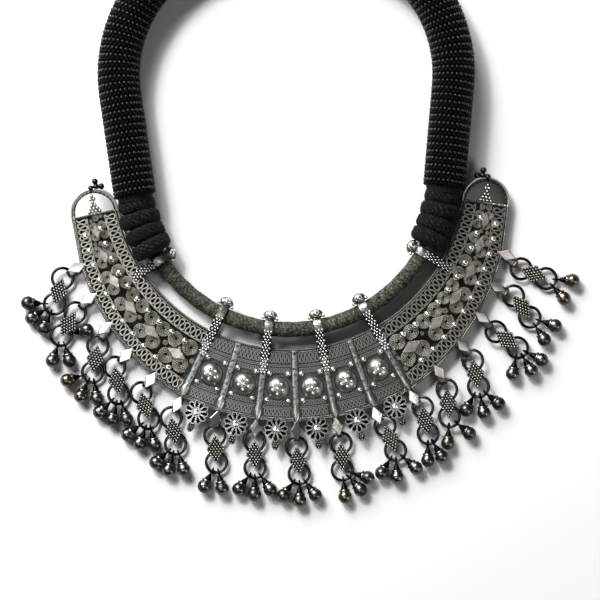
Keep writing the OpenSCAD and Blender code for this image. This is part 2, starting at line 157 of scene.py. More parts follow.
def tube(path, width, height=None, sides=6, closed=False, side=None, square=1.0):
    """A wire along a path. Round the path, a point lies at width * cos f to its side and height * sin f
    above it; a power under 1 on cos and sin makes the section boxy, and 2 makes it a diamond."""
    path = np.asarray(path, float)
    height = width if height is None else height
    ahead = unit(np.roll(path, -1, 0) - np.roll(path, 1, 0) if closed else np.gradient(path, axis=0))
    if side is None:
        side = unit(np.cross([0, 0, 1.0], ahead))
    side = np.broadcast_to(np.asarray(side, float), path.shape)
    up = np.cross(ahead, side)
    f = full_turn(sides)[None, :]
    c, s = rounded(f, square)
    if square != 1.0:
        c, s = c.round(6), s.round(6)
    wide, high = (np.asarray(v, float) for v in (width, height))
    wide, high = (v[:, None] if v.ndim == 1 else v for v in (wide, high))
    grid = path[:, None] + (wide * c)[..., None] * side[:, None] + (high * s)[..., None] * up[:, None]
    return skin(grid, 0.5 + 0.5 * np.sin(f), closed)


print("a straight wire in one stretch has", len(tube([[0, 0, 0], [1, 0, 0]], 0.1)[1]), "faces")


# %% Turned shapes and slabs
def wheel(profile, sides=24):
    """A profile of (radius, height) points, from the lower pole to the upper one, turned round z:
    (r cos f, r sin f, z). The wear is the share of the height."""
    profile = np.asarray(profile, float)
    f = full_turn(sides)[None, :]
    r, z = profile[1:-1, :1], profile[1:-1, 1:]
    low, high = profile[:, 1].min(), profile[:, 1].max()
    return skin(xyz(r * np.cos(f), r * np.sin(f), z), (z - low) / (high - low),
                tips=[[0, 0, profile[0, 1]], [0, 0, profile[-1, 1]]])


def ball(rings=3, sides=8):
    """A ball of radius 1: the profile is a half circle, (cos t, sin t), from pole to pole."""
    t = np.linspace(-np.pi / 2, np.pi / 2, rings + 2)
    return wheel(np.stack([np.cos(t), np.sin(t)], -1), sides)


def slab(outline, rings, wear_and_painted_light=0.0, tips=None):
    """A flat piece: the x and y of its outline, drawn again for each ring of (share of its size, height)."""
    x, y = np.asarray(outline, float).T
    return skin(np.stack([xyz(x * share, y * share, z) for share, z in rings]), wear_and_painted_light, tips=tips)


print("a ball has", len(ball()[1]), "faces")


# %% Shapes made from other shapes
def copies(shape, spots, turns=None, sizes=1.0):
    """The same shape at many spots, all copies at once: each point becomes turn @ point * size + spot."""
    points, faces, wear_and_painted_light = shape
    spots = np.atleast_2d(spots)
    k = len(spots)
    turns = np.broadcast_to(np.eye(3) if turns is None else turns, (k, 3, 3))
    sizes = np.broadcast_to(sizes, (k,))[:, None, None]
    placed = np.einsum("kab,nb->kna", turns, points) * sizes + spots[:, None]
    step = np.arange(k)[:, None, None] * len(points)
    return placed.reshape(-1, 3), (faces[None] + step).reshape(-1, 4), np.tile(wear_and_painted_light, k)


def joined(*shapes):
    """Several shapes as one: their points one after another, and their faces counted on."""
    points, faces, wear_and_painted_light = zip(*shapes)
    starts = np.cumsum([0] + [len(p) for p in points[:-1]])
    return (np.concatenate(points), np.concatenate([f + n for f, n in zip(faces, starts)]),
            np.concatenate(wear_and_painted_light))


def stretched(shape, by, shift=(0, 0, 0)):
    """The same shape made longer or shorter along x, y and z, and then moved: point * by + shift."""
    return shape[0] * by + shift, shape[1], shape[2]


def worn(shape, low, high):
    """The same shape with its wear brought between two values: low + (high - low) * wear."""
    return shape[0], shape[1], low + (high - low) * shape[2]


def inside_out(shape):
    """The same shape with the corners of its faces in the other order, as a mirrored one needs them."""
    points, faces, wear_and_painted_light = shape
    back = faces[:, ::-1].copy()
    three = faces[:, 2] == faces[:, 3]
    back[three] = faces[three][:, [1, 0, 2, 3]]
    return points, back, wear_and_painted_light


print("two balls joined have", len(joined(ball(), ball())[1]), "faces")


# %% Heights for what is made by hand
def uneven(points, size, seed):
    """Smooth random heights, mostly from -1 to 1: the sum of eight sine waves in random directions, each
    about the given size long, divided by 4."""
    rng = np.random.default_rng(seed)
    ways = unit(rng.normal(size=(8, 3)))
    ways *= 2 * np.pi / size * rng.uniform(0.6, 1.4, (8, 1))
    return np.sin(points @ ways.T + rng.uniform(0, 2 * np.pi, 8)).sum(-1) / 4


print("heights over a ball:", uneven(ball()[0][:6], 2.0, 1).round(1))

# %% [markdown]
# ## The way a piece enters the scene
# A mesh is filled with whole arrays, which takes a fraction of a second where adding points one by one
# would take minutes. Each piece rides on the necklace's single body and hides the CAD nodes it stands for.

# %% Put a piece in the scene
triangles = {}


def put(name, shape, finish, nodes=(), sharp=60):
    """Makes one object of a shape, hangs it on the necklace's body and hides the CAD nodes it stands for. A
    point in metres is (point + NECK) / 1000, and a face whose last two corners are the same is a triangle."""
    points, faces, wear_and_painted_light = shape
    mesh = bpy.data.meshes.new(name)
    used = np.ones(faces.shape, bool)
    used[faces[:, 3] == faces[:, 2], 3] = False
    corners = used.sum(1)
    mesh.vertices.add(len(points))
    mesh.vertices.foreach_set("co", ((points + NECK) * MM).astype(np.float32).ravel())
    mesh.loops.add(int(corners.sum()))
    mesh.loops.foreach_set("vertex_index", faces[used].astype(np.int32))
    mesh.polygons.add(len(faces))
    mesh.polygons.foreach_set("loop_start", (np.cumsum(corners) - corners).astype(np.int32))
    mesh.polygons.foreach_set("use_smooth", np.ones(len(faces), bool))
    mesh.attributes.new("wear_and_painted_light", "FLOAT", "POINT").data.foreach_set("value", wear_and_painted_light.astype(np.float32))
    mesh.update(calc_edges=True)
    mesh.set_sharp_from_angle(angle=np.radians(sharp))
    mesh.materials.append(finish)
    piece = bpy.data.objects.new(name, mesh)
    bpy.context.scene.collection.objects.link(piece)
    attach(piece, "root")
    if nodes:
        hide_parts(*nodes)
    triangles[name] = int((corners - 2).sum())


def report(*names):
    """Prints how many triangles the pieces have whose names start so."""
    for start in names:
        found = [count for name, count in triangles.items() if name.startswith(start)]
        print(f"{start}: {len(found)} piece(s), {sum(found)} triangles")


# %% [markdown]
# ## Blackened silver
# Old silver is dipped in a sulphur bath until it is black, and then rubbed: the black stays in the
# grooves, and the tops come up bright. Every silver finish here shares one group, which mixes a deep
# colour and a bright colour by the wear of the place and by a patchy noise; a slower noise makes some of
# the bright places a little warmer. A second group gives the height of dents and scratches for a Bump node.


# %% Groups, links and what a node reads
FLOAT, COLOUR = "NodeSocketFloat", "NodeSocketColor"


def new_group(name, inputs, outputs):
    """An empty node group with named sockets. Each entry is (name, socket type, value)."""
    tree = bpy.data.node_groups.new(name, "ShaderNodeTree")
    for label, kind, value in inputs:
        tree.interface.new_socket(label, in_out="INPUT", socket_type=kind).default_value = value
    for label, kind in outputs:
        tree.interface.new_socket(label, in_out="OUTPUT", socket_type=kind)
    return tree, tree.nodes.new("NodeGroupInput").outputs, tree.nodes.new("NodeGroupOutput").inputs


def feed(tree, socket, value):
    """Links an output to a socket, or sets the socket to a plain value."""
    if isinstance(value, bpy.types.NodeSocket):
        tree.links.new(value, socket)
    else:
        socket.default_value = value


def object_place(tree):
    """Where a point lies on its object."""
    return tree.nodes.new("ShaderNodeTexCoord").outputs["Object"]


def rubbing_and_painted_light_at(tree):
    """The value for wear and painted light that the mesh carries at a point."""
    made = tree.nodes.new("ShaderNodeAttribute")
    made.attribute_name = "wear_and_painted_light"
    return made.outputs["Fac"]


# %% Nodes that work out a value
def sums(tree, operation, a, b=0.0, c=0.0):
    """A Math node on up to three values; MULTIPLY_ADD gives a * b + c."""
    made = tree.nodes.new("ShaderNodeMath")
    made.operation = operation
    for socket, value in zip(made.inputs, (a, b, c)):
        feed(tree, socket, value)
    return made.outputs[0]


def noise(tree, vector, scale, detail=2.0, roughness=0.5):
    """A Noise Texture's value."""
    made = tree.nodes.new("ShaderNodeTexNoise")
    for label, value in (("Vector", vector), ("Scale", scale), ("Detail", detail), ("Roughness", roughness)):
        feed(tree, made.inputs[label], value)
    return made.outputs[0]


def mixed(tree, share, a, b):
    """A colour between two others: a * (1 - share) + b * share."""
    made = tree.nodes.new("ShaderNodeMix")
    made.data_type = "RGBA"
    for socket, value in zip([made.inputs[0], made.inputs[6], made.inputs[7]], (share, a, b)):
        feed(tree, socket, value)
    return made.outputs[2]


def ramp(tree, value, low, high, to_low=0.0, to_high=1.0):
    """A value brought from one range to another with soft ends: with x the share of the first range, the
    share of the second is x * x * (3 - 2 * x)."""
    made = tree.nodes.new("ShaderNodeMapRange")
    made.interpolation_type = "SMOOTHSTEP"
    for socket, v in zip(made.inputs, (value, low, high, to_low, to_high)):
        feed(tree, socket, v)
    return made.outputs[0]


# %% The tarnish group
tarnish, given, result = new_group(
    "tarnish",
    [("Deep", COLOUR, (0.01, 0.01, 0.01, 1)), ("Bright", COLOUR, (0.6, 0.6, 0.6, 1)),
     ("Warm", COLOUR, (0.6, 0.5, 0.4, 1)), ("Rubbed", FLOAT, 0.0), ("Patches", FLOAT, 0.4),
     ("Patch scale", FLOAT, 400.0), ("Rough black", FLOAT, 0.5), ("Rough bright", FLOAT, 0.25)],
    [("Colour", COLOUR), ("Roughness", FLOAT)])
place = object_place(tarnish)
raised = sums(tarnish, "ADD", rubbing_and_painted_light_at(tarnish), given["Rubbed"])
patchy = sums(tarnish, "SUBTRACT", noise(tarnish, place, given["Patch scale"], 3.0, 0.6), 0.5)
shine = ramp(tarnish, sums(tarnish, "MULTIPLY_ADD", patchy, given["Patches"], raised), 0.25, 0.8)
warmth = ramp(tarnish, noise(tarnish, place, 90.0), 0.45, 0.75)
feed(tarnish, result["Colour"],
     mixed(tarnish, shine, given["Deep"], mixed(tarnish, warmth, given["Bright"], given["Warm"])))
feed(tarnish, result["Roughness"],
     ramp(tarnish, shine, 0.0, 1.0, given["Rough black"], given["Rough bright"]))
print("tarnish group:", len(tarnish.nodes), "nodes")

# %% The dents group
dents, given, result = new_group("dents", [("Scale", FLOAT, 500.0), ("Scratches", FLOAT, 0.3)],
                                 [("Height", FLOAT)])
place = object_place(dents)
drawn_out = dents.nodes.new("ShaderNodeMapping")
drawn_out.inputs["Rotation"].default_value = (0.3, 0.2, 0.7)
drawn_out.inputs["Scale"].default_value = (1.0, 6.0, 2.0)
feed(dents, drawn_out.inputs["Vector"], place)
lines = noise(dents, drawn_out.outputs[0], given["Scale"])
pits = noise(dents, place, given["Scale"])
feed(dents, result["Height"], sums(dents, "MULTIPLY_ADD", lines, given["Scratches"], pits))
print("dents group:", len(dents.nodes), "nodes")


# %% What every material needs
def new_material(name):
    """A material, its tree and its Principled shader."""
    material = bpy.data.materials.new(name)
    material.use_nodes = True
    return material, material.node_tree, material.node_tree.nodes["Principled BSDF"]


def with_group(tree, group, **values):
    """A group placed in a material with its own values; _ stands for the space in a socket's name."""
    made = tree.nodes.new("ShaderNodeGroup")
    made.node_tree = group
    for label, value in values.items():
        made.inputs[label.replace("_", " ")].default_value = value
    return made.outputs


def bumped(tree, shader, height, strength, distance):
    """A Bump node between a height and the shader, its distance in mm."""
    made = tree.nodes.new("ShaderNodeBump")
    made.inputs["Strength"].default_value = strength
    made.inputs["Distance"].default_value = distance * MM
    feed(tree, made.inputs["Height"], height)
    feed(tree, shader.inputs["Normal"], made.outputs["Normal"])


def grey(value):
    """A colour with the same red, green and blue."""
    return value, value, value


# %% One silver finish
def silver(name, deep, bright, warm, rough, rubbed=0.0, patches=0.4, patch_scale=400.0, dent_scale=700.0,
           dent=0.25, scratches=0.3, depth=0.1, metallic=1.0, glancing=1.0):
    """One silver finish: the tarnish group gives colour and roughness, and the dents group the bump. Thick
    black tarnish also shines less at a glancing angle."""
    material, tree, shader = new_material(name)
    coat = with_group(tree, tarnish, Deep=(*deep, 1), Bright=(*bright, 1), Warm=(*warm, 1), Rubbed=rubbed,
                      Patches=patches, Patch_scale=patch_scale, Rough_black=rough[0], Rough_bright=rough[1])
    marks = with_group(tree, dents, Scale=dent_scale, Scratches=scratches)
    bumped(tree, shader, marks["Height"], dent, depth)
    feed(tree, shader.inputs["Base Color"], coat["Colour"])
    feed(tree, shader.inputs["Roughness"], coat["Roughness"])
    shader.inputs["Metallic"].default_value = metallic
    shader.inputs["Specular Tint"].default_value = (*grey(glancing), 1)
    return material


# %% Finishes of the sheet, the wires and the coils
BLACK = (0.012, 0.012, 0.011)
sheet_silver = silver("blackened_sheet", BLACK, (0.13, 0.14, 0.15), (0.13, 0.13, 0.12), (0.55, 0.35),
                      patches=0.5, dent=0.5, depth=0.2)
edge_silver = silver("edge_wire", (0.02, 0.02, 0.018), (0.38, 0.37, 0.34), (0.36, 0.33, 0.27), (0.5, 0.4),
                     patches=0.5)
wire_silver = silver("rubbed_wire", BLACK, (0.54, 0.51, 0.46), (0.48, 0.43, 0.36), (0.5, 0.32),
                     patches=0.5)
panel_silver = silver("panel_wire", BLACK, (0.40, 0.41, 0.40), (0.38, 0.37, 0.32), (0.5, 0.35),
                      patches=0.5)
coil_silver = silver("wound_coils", (0.015, 0.015, 0.013), (0.66, 0.64, 0.58), (0.55, 0.50, 0.42),
                     (0.6, 0.42), patches=0.8)
print("the first finishes:", [m.name for m in bpy.data.materials])

# %% Finishes of plates, grains, domes and bars
plate_silver = silver("taupe_plates", (0.10, 0.085, 0.08), (0.70, 0.65, 0.62), (0.66, 0.57, 0.52),
                      (0.4, 0.28), rubbed=0.1, dent=0.2, scratches=0.1)
grain_silver = silver("bright_grains", grey(0.02), (0.84, 0.82, 0.79), (0.80, 0.75, 0.68), (0.4, 0.22),
                      rubbed=0.1, patches=0.3, dent=0.05, metallic=0.92)
dome_silver = silver("domes", grey(0.04), (0.44, 0.44, 0.43), (0.40, 0.38, 0.34), (0.45, 0.34),
                     rubbed=0.2, dent=0.2, depth=0.15)
bar_silver = silver("hammered_bars", grey(0.03), (0.40, 0.40, 0.39), (0.38, 0.36, 0.31), (0.5, 0.3),
                    patches=1.1, patch_scale=900.0, dent=0.6, depth=0.2, dent_scale=1100.0)
leaf_silver = silver("bright_leaves", grey(0.03), (0.46, 0.46, 0.44), (0.44, 0.41, 0.35), (0.5, 0.34),
                     rubbed=-0.1, patches=1.1, patch_scale=900.0, dent=0.6, depth=0.2, dent_scale=900.0,
                     scratches=0.0)
tab_silver = silver("bar_tabs", (0.09, 0.09, 0.08), (0.80, 0.79, 0.75), (0.72, 0.68, 0.58), (0.5, 0.26),
                    patches=0.7, patch_scale=500.0, dent=0.3, depth=0.15)
print(len(bpy.data.materials), "materials so far")

# %% Finishes of the caps and the drops
# Painted light: the caps are one silver, a pale copy on the left cap as a painted highlight and a dark copy
# on the right cap as a painted shade.
cap_painted_light = {
    "left": silver("cap_painted_highlight", (0.25, 0.24, 0.23), (0.94, 0.92, 0.90), (0.86, 0.82, 0.78), (0.42, 0.36),
                   rubbed=0.35, patches=0.3, patch_scale=150.0, dent=0.2),
    "right": silver("cap_painted_shade", (0.05, 0.055, 0.05), (0.17, 0.18, 0.17), (0.16, 0.16, 0.14), (0.45, 0.33),
                    patches=0.6, patch_scale=150.0, dent=0.2)}
ring_silver = silver("dark_rings", grey(0.003), grey(0.050), (0.046, 0.043, 0.038), (0.26, 0.16),
                     rubbed=-0.15, glancing=0.3)
lattice_silver = silver("lozenge_grains", grey(0.004), (0.48, 0.47, 0.44), (0.44, 0.40, 0.33),
                        (0.5, 0.26), rubbed=-0.1, patches=0.5, dent=0.1)
bell_silver = silver("bells", grey(0.008), (0.22, 0.21, 0.20), (0.27, 0.23, 0.165), (0.36, 0.24),
                     rubbed=0.12, patches=0.9, patch_scale=200.0, dent=0.2, depth=0.15, glancing=0.3)
print(len(bpy.data.materials), "materials so far")

# %% [markdown]
# ## The plate
# The collar starts as one sheet sawn to a crescent. Its outer edge isn't an arc but a row of short
# straight cuts from tab to tab, so the edge's radius at an angle comes from the chord between two corners.

# %% The collar's outline
INNER_R, OUTER_R, CAP_OUTER_R = 69.6, 98.8, 88.8
END_ANGLE, BAR_STEP, TAB_STEP = 80.0, 9.2, 8.1
TABS, TABS_A_SIDE, BARS_A_SIDE = 17, 8, 3
LAST_BAR = BARS_A_SIDE * BAR_STEP
PLATE_Z, PLATE_TOP = 3.2, 4.1


def tab_angle(i):
    """Angle of tab i, counted from the left end: a wide step between bars, a narrower one on the sides."""
    k = np.asarray(i) - TABS_A_SIDE
    past = np.abs(k) - BARS_A_SIDE
    return np.where(past <= 0, k * BAR_STEP, np.sign(k) * (LAST_BAR + past * TAB_STEP))


def corner_r(angle):
    """Radius of the outer edge's corners: even along the bars, then falling evenly to the caps."""
    fall = (np.abs(angle) - LAST_BAR) / (END_ANGLE - LAST_BAR)
    return OUTER_R - (OUTER_R - CAP_OUTER_R) * np.clip(fall, 0, 1)


def crossed(a, b):
    """Size of the cross product of two flat vectors: |ax * by - ay * bx|."""
    return np.abs(a[..., 0] * b[..., 1] - a[..., 1] * b[..., 0])


seats = tab_angle(np.arange(TABS))
corners = np.array([-END_ANGLE, *seats, END_ANGLE])


def edge_r(angle):
    """Radius of the straight edge between two corners p and q at an angle: |p x q| / |(q - p) x u|, with u
    the direction at that angle."""
    angle = np.asarray(angle, float)
    k = np.clip(np.searchsorted(corners, angle) - 1, 0, len(corners) - 2)
    p, q = (polar(corner_r(corners[n]), corners[n]) for n in (k, k + 1))
    return crossed(p, q) / crossed(q - p, polar(1.0, angle))


print("radius at the lowest tab and half-way to the next:", edge_r([0, BAR_STEP / 2]).round(2), "mm")

# %% The plate
a = np.unique(np.concatenate([np.arange(-END_ANGLE, END_ANGLE, 0.5), corners[1:]]))
section = [(INNER_R, PLATE_TOP), (edge_r(a), PLATE_TOP), (edge_r(a), PLATE_Z), (INNER_R, PLATE_Z)]
points, faces, _ = skin(np.stack([polar(r, a, z) for r, z in section], 1), 0.0)
by_bars = np.abs(np.degrees(np.arctan2(points[:, 0], -points[:, 1]))) < LAST_BAR + 2
put("collar_plate", (points, faces, np.where(by_bars, 0.5, 0.05)), sheet_silver, nodes=["collar"], sharp=30)
report("collar_plate")

# %% [markdown]
# ## The edge wires
# Along each edge run two wires, each twisted from two thin strands, one to the left and one to the right,
# so that together they look like a plait. A pair of strands has a section like a figure of eight that
# turns as it goes along, so one tube with that section and a growing turn does for both strands.

# %% Twisted wires
HOLLOW = 0.36
TYPICAL_R = 85
ARC_STEP = 0.19
EDGE_STRAND, EDGE_PITCH = 0.22, 1.7


def twisted(path, strand, pitch, way=1):
    """Two strands as one tube: round it the radius is 2 * strand times the larger of |cos(f - turn)| and
    the hollow, and turn grows by a full circle for each pitch of the path's length."""
    length = np.append(0, np.cumsum(np.linalg.norm(np.diff(path, axis=0), axis=1)))
    f = full_turn(8)[None, :]
    lobe = np.maximum(np.abs(np.cos(f - way * 2 * np.pi * length[:, None] / pitch)), HOLLOW)
    points, faces, _ = tube(path, 2 * strand * lobe, sides=8)
    return points, faces, np.append(0.85 * lobe * (0.5 + 0.5 * np.sin(f)), [0.3, 0.3])


def at(radius, angle):
    """A radius that is a number or a function of the angle."""
    return radius(angle) if callable(radius) else radius


def arc(radius, start, end, z, step=ARC_STEP):
    """Points about every step mm along an arc, or along an edge whose radius changes with the angle. How
    many they are is counted at a typical radius of the collar."""
    a = np.linspace(start, end, int(np.radians(abs(end - start)) * TYPICAL_R / step))
    return polar(at(radius, a), a, z)


EDGE_Z, TO_EDGE, APART = PLATE_TOP + 0.35, 0.42, 0.85
for name, edge, inwards in (("inner_edge_wires", INNER_R, 1), ("outer_edge_wires", edge_r, -1)):
    pair = []
    for k in (0, 1):
        path = arc(lambda a: at(edge, a) + inwards * (TO_EDGE + APART * k), -END_ANGLE, END_ANGLE, EDGE_Z)
        pair.append(twisted(path, EDGE_STRAND, EDGE_PITCH, 1 - 2 * k))
    put(name, joined(*pair), edge_silver)
report("inner_edge_wires", "outer_edge_wires")

# %% [markdown]
# ## The scroll wires
# Between the edges lie rows of wire bent back and forth into narrow loops and soldered on the black
# sheet. A sine wave has no loops, but a sine that also swings back along its row does: while the wire
# crosses from one side to the other it moves a little backwards, which makes the neck of each loop.

# %% Scroll wires on the sides
SCROLL_Z, LINE_Z = PLATE_TOP + 0.25, PLATE_TOP + 0.15
BAND_START, BAND_END = 28.6, 79.5
LINE_IN, LINE_FROM_EDGE, LINE_W = 75.6, 6.1, 0.2


def scroll(radius, half, start, end, pitch, wire=0.3, swing=0.225):
    """A wire in loops along an arc: across the row it is half * cos t, and along it t / 2 pi + swing * sin 2t
    loops. radius is a number or a function of the angle."""
    middle_r = np.mean(at(radius, np.array([start, end])))
    loops = max(1, round(np.radians(abs(end - start)) * middle_r / pitch))
    t = np.linspace(0, 2 * np.pi * loops, 24 * loops + 1)
    a = start + (end - start) * (t / (2 * np.pi) + swing * np.sin(2 * t)) / loops
    return worn(tube(polar(at(radius, a) + half * np.cos(t), a, SCROLL_Z), wire, wire * 1.5), 0.1, 1.1)


rows = []
for side, _ in SIDES:
    start, end = side * BAND_START, side * BAND_END
    rows += [scroll(r, 1.85, start, end, 2.6) for r in (73.4, lambda a: edge_r(a) - 3.8)]
    rows += [tube(arc(r, start, end, LINE_Z, 1.0), LINE_W, 0.35)
             for r in (LINE_IN, lambda a: edge_r(a) - LINE_FROM_EDGE)]
put("side_scrolls", joined(*rows), wire_silver)
report("side_scrolls")

# %% [markdown]
# The six panels between the bars have rows of their own: tall loops along the inner edge, a low row under
# a pair of plain wires, and below the dome a low row, another pair of wires and a row of rounder loops.

# %% Panel scrolls
panels = (np.arange(6) - 2.5) * BAR_STEP
PANEL_HALF = 3.55
PANEL_LINES = (76.1, 76.7, 92.9, 93.5)
# radius of the row, half its height, degrees left free at each end, pitch, wire, swing
PANEL_ROWS = [(73.3, 1.90, 0.0, 1.65, 0.20, 0.21), (78.3, 0.85, 0.2, 1.4, 0.16, 0.21),
              (91.3, 0.85, 0.5, 1.40, 0.16, 0.21), (95.2, 1.30, 0.4, 1.6, 0.19, 0.23)]
rows = []
for a in panels:
    rows += [scroll(r, half, a - PANEL_HALF + free, a + PANEL_HALF - free, pitch, wire, swing)
             for r, half, free, pitch, wire, swing in PANEL_ROWS]
    rows += [tube(arc(r, a - PANEL_HALF, a + PANEL_HALF, LINE_Z, 1.0), 0.16, 0.3) for r in PANEL_LINES]
put("panel_scrolls", joined(*rows), panel_silver)
report("panel_scrolls")

# %% [markdown]
# ## Coils, lozenges and balls on the sides
# Down the middle of each side run six lozenges of sheet. Four flat coils of beaded wire lie round each, and
# the gaps are filled with smaller coils, each as large as its gap allows, and between those with small
# grains in offset rows. A coil looks beaded because its wire is thick and bright at every third point of
# the path and thin and dark at the two between.


# %% One coil
def coil(turns=4.7, hole=0.12, wire=0.07, beads=68):
    """A flat spiral of beaded wire, 1 in radius: the radius grows evenly with the angle, and the angle as
    the square root of the bead's number, which spaces the beads evenly. The last turn is thicker."""
    f = 2 * np.pi * turns * np.sqrt(np.linspace(0.004, 1, beads * 3))
    share = f / f[-1]
    r = hole + (1 - hole - wire) * share
    bead = np.tile([1.0, -0.5, -0.5], beads)
    thick = wire * (1 + 0.4 * bead) * (0.9 + 0.5 * share ** 8)
    points, faces, wear_and_painted_light = tube(xyz(r * np.cos(f), r * np.sin(f), 0.09), thick, thick * 1.2, sides=4)
    return points, faces, wear_and_painted_light * np.append(np.repeat(0.9 + 0.4 * bead, 4), [0, 0])


print("a coil has", len(coil()[1]), "faces")

# %% The band down the middle of a side
LOZENGES, FIRST_LOZENGE, LOZENGE_STEP, CLOSING = 6, 33.8, 9.42, 0.56
BAND_IN, BAND_FROM_EDGE = LINE_IN + LINE_W, LINE_FROM_EDGE + LINE_W
# a typical radius of the band, and the angle at which it starts
BAND_R, FIRST_COIL = 80, 28.2
# the coils in the gaps: how often one is tried, how far it is pressed in, and the radii that one may have
TRIES, PRESSED, SMALLEST, LARGEST = 1500, 0.12, 0.85, 1.9


def lozenge_angle(k):
    """Angle of lozenge k: towards the cap each step is a little smaller than the one before."""
    return FIRST_LOZENGE + LOZENGE_STEP * k - CLOSING * k * (k - 1) / 2


def band_middle(a):
    """Radius of the line down the middle of a side: half-way between the edges, and a little further out."""
    return (INNER_R + corner_r(a)) / 2 + 0.6


def band_width(a):
    """Room between the plain wires of a side."""
    return edge_r(a) - BAND_FROM_EDGE - BAND_IN


def coil_places(side):
    """Middles and radii of a side's coils: four round each lozenge, and then, at each of many random spots,
    one that fills the gap there and is pressed a little into its neighbours, if the gap is wide enough."""
    spots, sizes = [], []
    for k in range(LOZENGES):
        a = lozenge_angle(k)
        width = band_width(side * a)
        step = np.radians(LOZENGE_STEP - CLOSING * k) * band_middle(a)
        size = min(0.27 * width, 0.25 * step)
        for out, on in ((-1, -1), (-1, 1), (1, -1), (1, 1)):
            r = BAND_IN + width * (0.5 + 0.25 * out) + rng.uniform(-0.15, 0.15)
            spots.append(polar(r, side * (a + np.degrees(on * size / r)), PLATE_TOP + 0.1 * (on > 0)))
            sizes.append(size * rng.uniform(0.98, 1.04))
    for _ in range(TRIES):
        a = rng.uniform(BAND_START, BAND_END)
        width = band_width(side * a)
        out = rng.uniform(0.1, 0.9) * width
        spot = polar(BAND_IN + out, side * a, PLATE_TOP)
        gap = (np.linalg.norm(np.array(spots) - spot, axis=1) - sizes).min()
        to_ends = np.radians([a - FIRST_COIL, END_ANGLE - a]) * BAND_R
        size = min(gap, out, width - out, *to_ends) + PRESSED
        if size > SMALLEST:
            spots.append(spot)
            sizes.append(min(size, LARGEST))
    return np.array(spots), np.array(sizes)


def ground_places(side, spots, sizes):
    """A grid of radii and angles with every second row moved on by half a step, less what coils cover."""
    r, a = np.meshgrid(np.arange(75.9, 92.6, 0.62), np.arange(BAND_START + 0.3, BAND_END, 0.5))
    a = a + 0.25 * (np.arange(r.shape[1]) % 2)
    r = r.ravel() + rng.uniform(-0.08, 0.08, r.size)
    a = a.ravel() + rng.uniform(-0.06, 0.06, a.size)
    ground = polar(r, side * a, PLATE_TOP + 0.05)
    clear = np.linalg.norm(ground[:, None, :2] - spots[None, :, :2], axis=2) - sizes
    return ground[(r < edge_r(side * a) - 6.6) & (clear.min(axis=1) > -0.1)]


# %% Coils and the grains between them
rng = np.random.default_rng(11)
for side, label in SIDES:
    spots, sizes = coil_places(side)
    turns = turned(z=np.linspace(0, 900, len(spots)))
    put(f"coils_{label}", copies(coil(), spots, turns, sizes), coil_silver)
    ground = ground_places(side, spots, sizes)
    put(f"ground_{label}", worn(copies(ball(3, 6), ground, sizes=0.32), -0.4, 0.35), coil_silver)
    print(len(spots), "coils and", len(ground), "small grains on the", label)
report("coils", "ground")


# %% Lozenges
def rhombus(length, width, thickness, rim=0.35, crown=0.0, face=1.0):
    """A rhombic plate with a bevelled rim: four rings of four corners, and a middle point as high above the
    rim as the crown. face is how bright the middle is: its wear, and on the bar tabs painted light."""
    outline = [[length / 2, 0], [0, width / 2], [-length / 2, 0], [0, -width / 2]]
    rings = [(0.98, 0.0), (1.0, thickness * 0.25), (1.0, thickness * 0.7), (1 - rim / (width / 2), thickness)]
    wear_and_painted_light = np.array([0.2, 0.4, 1.0, face])[:, None]
    return slab(outline, rings, wear_and_painted_light, tips=[[0, 0, 0], [0, 0, thickness + crown]])


SIDE_LOZENGE_L, SIDE_LOZENGE_W, SHRINK = 8.8, 4.8, 0.045
lozenges = []
for side, _ in SIDES:
    for k in range(LOZENGES):
        a, size = side * lozenge_angle(k), 1 - SHRINK * k
        tip_x, tip_y = rng.uniform(-2.5, 2.5, 2)
        lozenges.append(copies(rhombus(SIDE_LOZENGE_L * size, SIDE_LOZENGE_W * size, 1.1, face=0.4),
                               polar(band_middle(a), a, PLATE_TOP + 0.35),
                               facing(a) @ turned(tip_x, tip_y, 90)))
put("lozenges", joined(*lozenges), plate_silver, sharp=20)
report("lozenges")

# %% [markdown]
# Two rows of silver balls stand on the coils, ten in the inner row and eleven in the outer one, which falls
# towards the cap as the edge does. Each ball sits on a little foot ring, as it was soldered.


# %% Balls on the sides
def foot_ring(radius, wire):
    """A small ring of wire round the foot of a ball: r cos f and r sin f."""
    f = full_turn(14)
    return tube(xyz(radius * np.cos(f), radius * np.sin(f)), wire, sides=5, closed=True)


footed_ball = joined(copies(ball(7, 16), [0, 0, 0.58]), worn(foot_ring(0.85, 0.17), 0.1, 0.8))
inner, outer = np.arange(10), np.arange(11)
spots = []
for side, _ in SIDES:
    spots += [polar(78.3, side * (FIRST_LOZENGE + 4.65 * inner), PLATE_TOP + 0.3),
              polar(91 - 0.62 * outer, side * (FIRST_LOZENGE + 4.1 * outer), PLATE_TOP + 0.3)]
put("side_balls", copies(footed_ball, np.concatenate(spots), sizes=1.4), grain_silver)
report("side_balls")

# %% [markdown]
# ## Domes and bars
# Each panel of the middle carries a dome raised from sheet, with a cluster of grains on its top: one in
# the middle and five round it. Four balls stand at the panel's corners. The bars between the panels are
# hammered from rod, so their faces are uneven; each ends in a small leaf above its tab.

